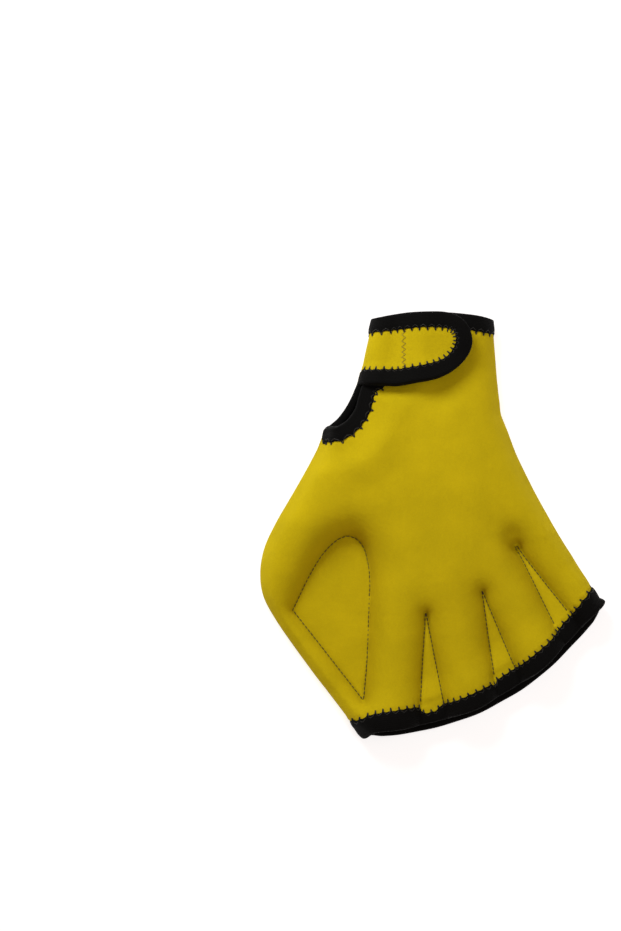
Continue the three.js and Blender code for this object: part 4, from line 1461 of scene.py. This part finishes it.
# Lights: name, place, size and power; the camera looks straight down
LIGHTS = (
    ("key", (-0.3, 0.56, 0.5), 0.3, 3.85),
    ("fill", (0.16, -0.02, 0.5), 0.3, 0.5),
)
WORLD_COLOUR = (1, 0.72, 0.62, 1)
WORLD_POWER = 0.3
FLOOR_SIZE = 6
FLOOR_DROP = 0.0002
FLOOR_GLOW = 0.75
LENS = 100
SENSOR = 36
VIEW_HEIGHT = 0.4763
VIEW_MIDDLE = (-0.0620, 0.0290, 0.014)


class GLOVE_OT_studio(bpy.types.Operator):
    """Sets the pale floor, soft lights and the camera over the glove"""

    bl_idname = "glove.studio"
    bl_label = "Studio"

    def execute(self, context):
        scene = context.scene
        bpy.ops.object.select_all(action="DESELECT")
        bpy.ops.mesh.primitive_plane_add(size=FLOOR_SIZE)
        floor = context.object
        floor.name = "floor"
        floor.location.z = -FLOOR_DROP
        material = bpy.data.materials.new("Studio floor")
        material.use_nodes = True
        shader = material.node_tree.nodes["Principled BSDF"]
        shader.inputs["Base Color"].default_value = (*scene.glove_colours.floor, 1)
        shader.inputs["Roughness"].default_value = 0.9
        shader.inputs["Emission Color"].default_value = (1, 1, 1, 1)
        shader.inputs["Emission Strength"].default_value = FLOOR_GLOW
        floor.data.materials.append(material)
        for name, place, size, power in LIGHTS:
            light = bpy.data.lights.new(name, "AREA")
            light.size = size
            light.energy = power
            lamp = bpy.data.objects.new(name, light)
            scene.collection.objects.link(lamp)
            lamp.location = place
            lamp.rotation_euler = (-Vector(place)).to_track_quat("-Z", "Y").to_euler()
        world = bpy.data.worlds.new("Studio")
        world.use_nodes = True
        background = world.node_tree.nodes["Background"]
        background.inputs[0].default_value = WORLD_COLOUR
        background.inputs[1].default_value = WORLD_POWER
        scene.world = world
        scene.view_settings.view_transform = "Standard"
        camera = bpy.data.cameras.new("camera")
        camera.lens = LENS
        camera.sensor_width = SENSOR
        eye = bpy.data.objects.new("camera", camera)
        eye.location = Vector(VIEW_MIDDLE) + Vector((0, 0, VIEW_HEIGHT * LENS / SENSOR))
        scene.collection.objects.link(eye)
        scene.camera = eye
        return {"FINISHED"}


class GLOVE_PT_panel(bpy.types.Panel):
    """Lists the glove's operators, sizes and colours"""

    bl_idname = "GLOVE_PT_panel"
    bl_label = "Swim glove"
    bl_space_type = "VIEW_3D"
    bl_region_type = "UI"
    bl_category = "Glove"

    def draw(self, context):
        for operator in OPERATORS:
            self.layout.operator(operator.bl_idname)
        for group in (context.scene.glove_sizes, context.scene.glove_colours):
            for name in group.__annotations__:
                self.layout.prop(group, name)


OPERATORS = (
    GLOVE_OT_panels,
    GLOVE_OT_edge_tapes,
    GLOVE_OT_tape_stitches,
    GLOVE_OT_seam_stitches,
    GLOVE_OT_hook_patch,
    GLOVE_OT_studio,
)
CLASSES = (GloveSizes, GloveColours, *OPERATORS, GLOVE_PT_panel)


def register():
    for item in CLASSES:
        bpy.utils.register_class(item)
    bpy.types.Scene.glove_sizes = bpy.props.PointerProperty(type=GloveSizes)
    bpy.types.Scene.glove_colours = bpy.props.PointerProperty(type=GloveColours)


def unregister():
    del bpy.types.Scene.glove_sizes
    del bpy.types.Scene.glove_colours
    for item in reversed(CLASSES):
        bpy.utils.unregister_class(item)


def main():
    register()
    bpy.ops.glove.panels()
    bpy.ops.glove.edge_tapes()
    bpy.ops.glove.tape_stitches()
    bpy.ops.glove.seam_stitches()
    bpy.ops.glove.hook_patch()
    bpy.ops.glove.studio()


if __name__ == "__main__":
    main()
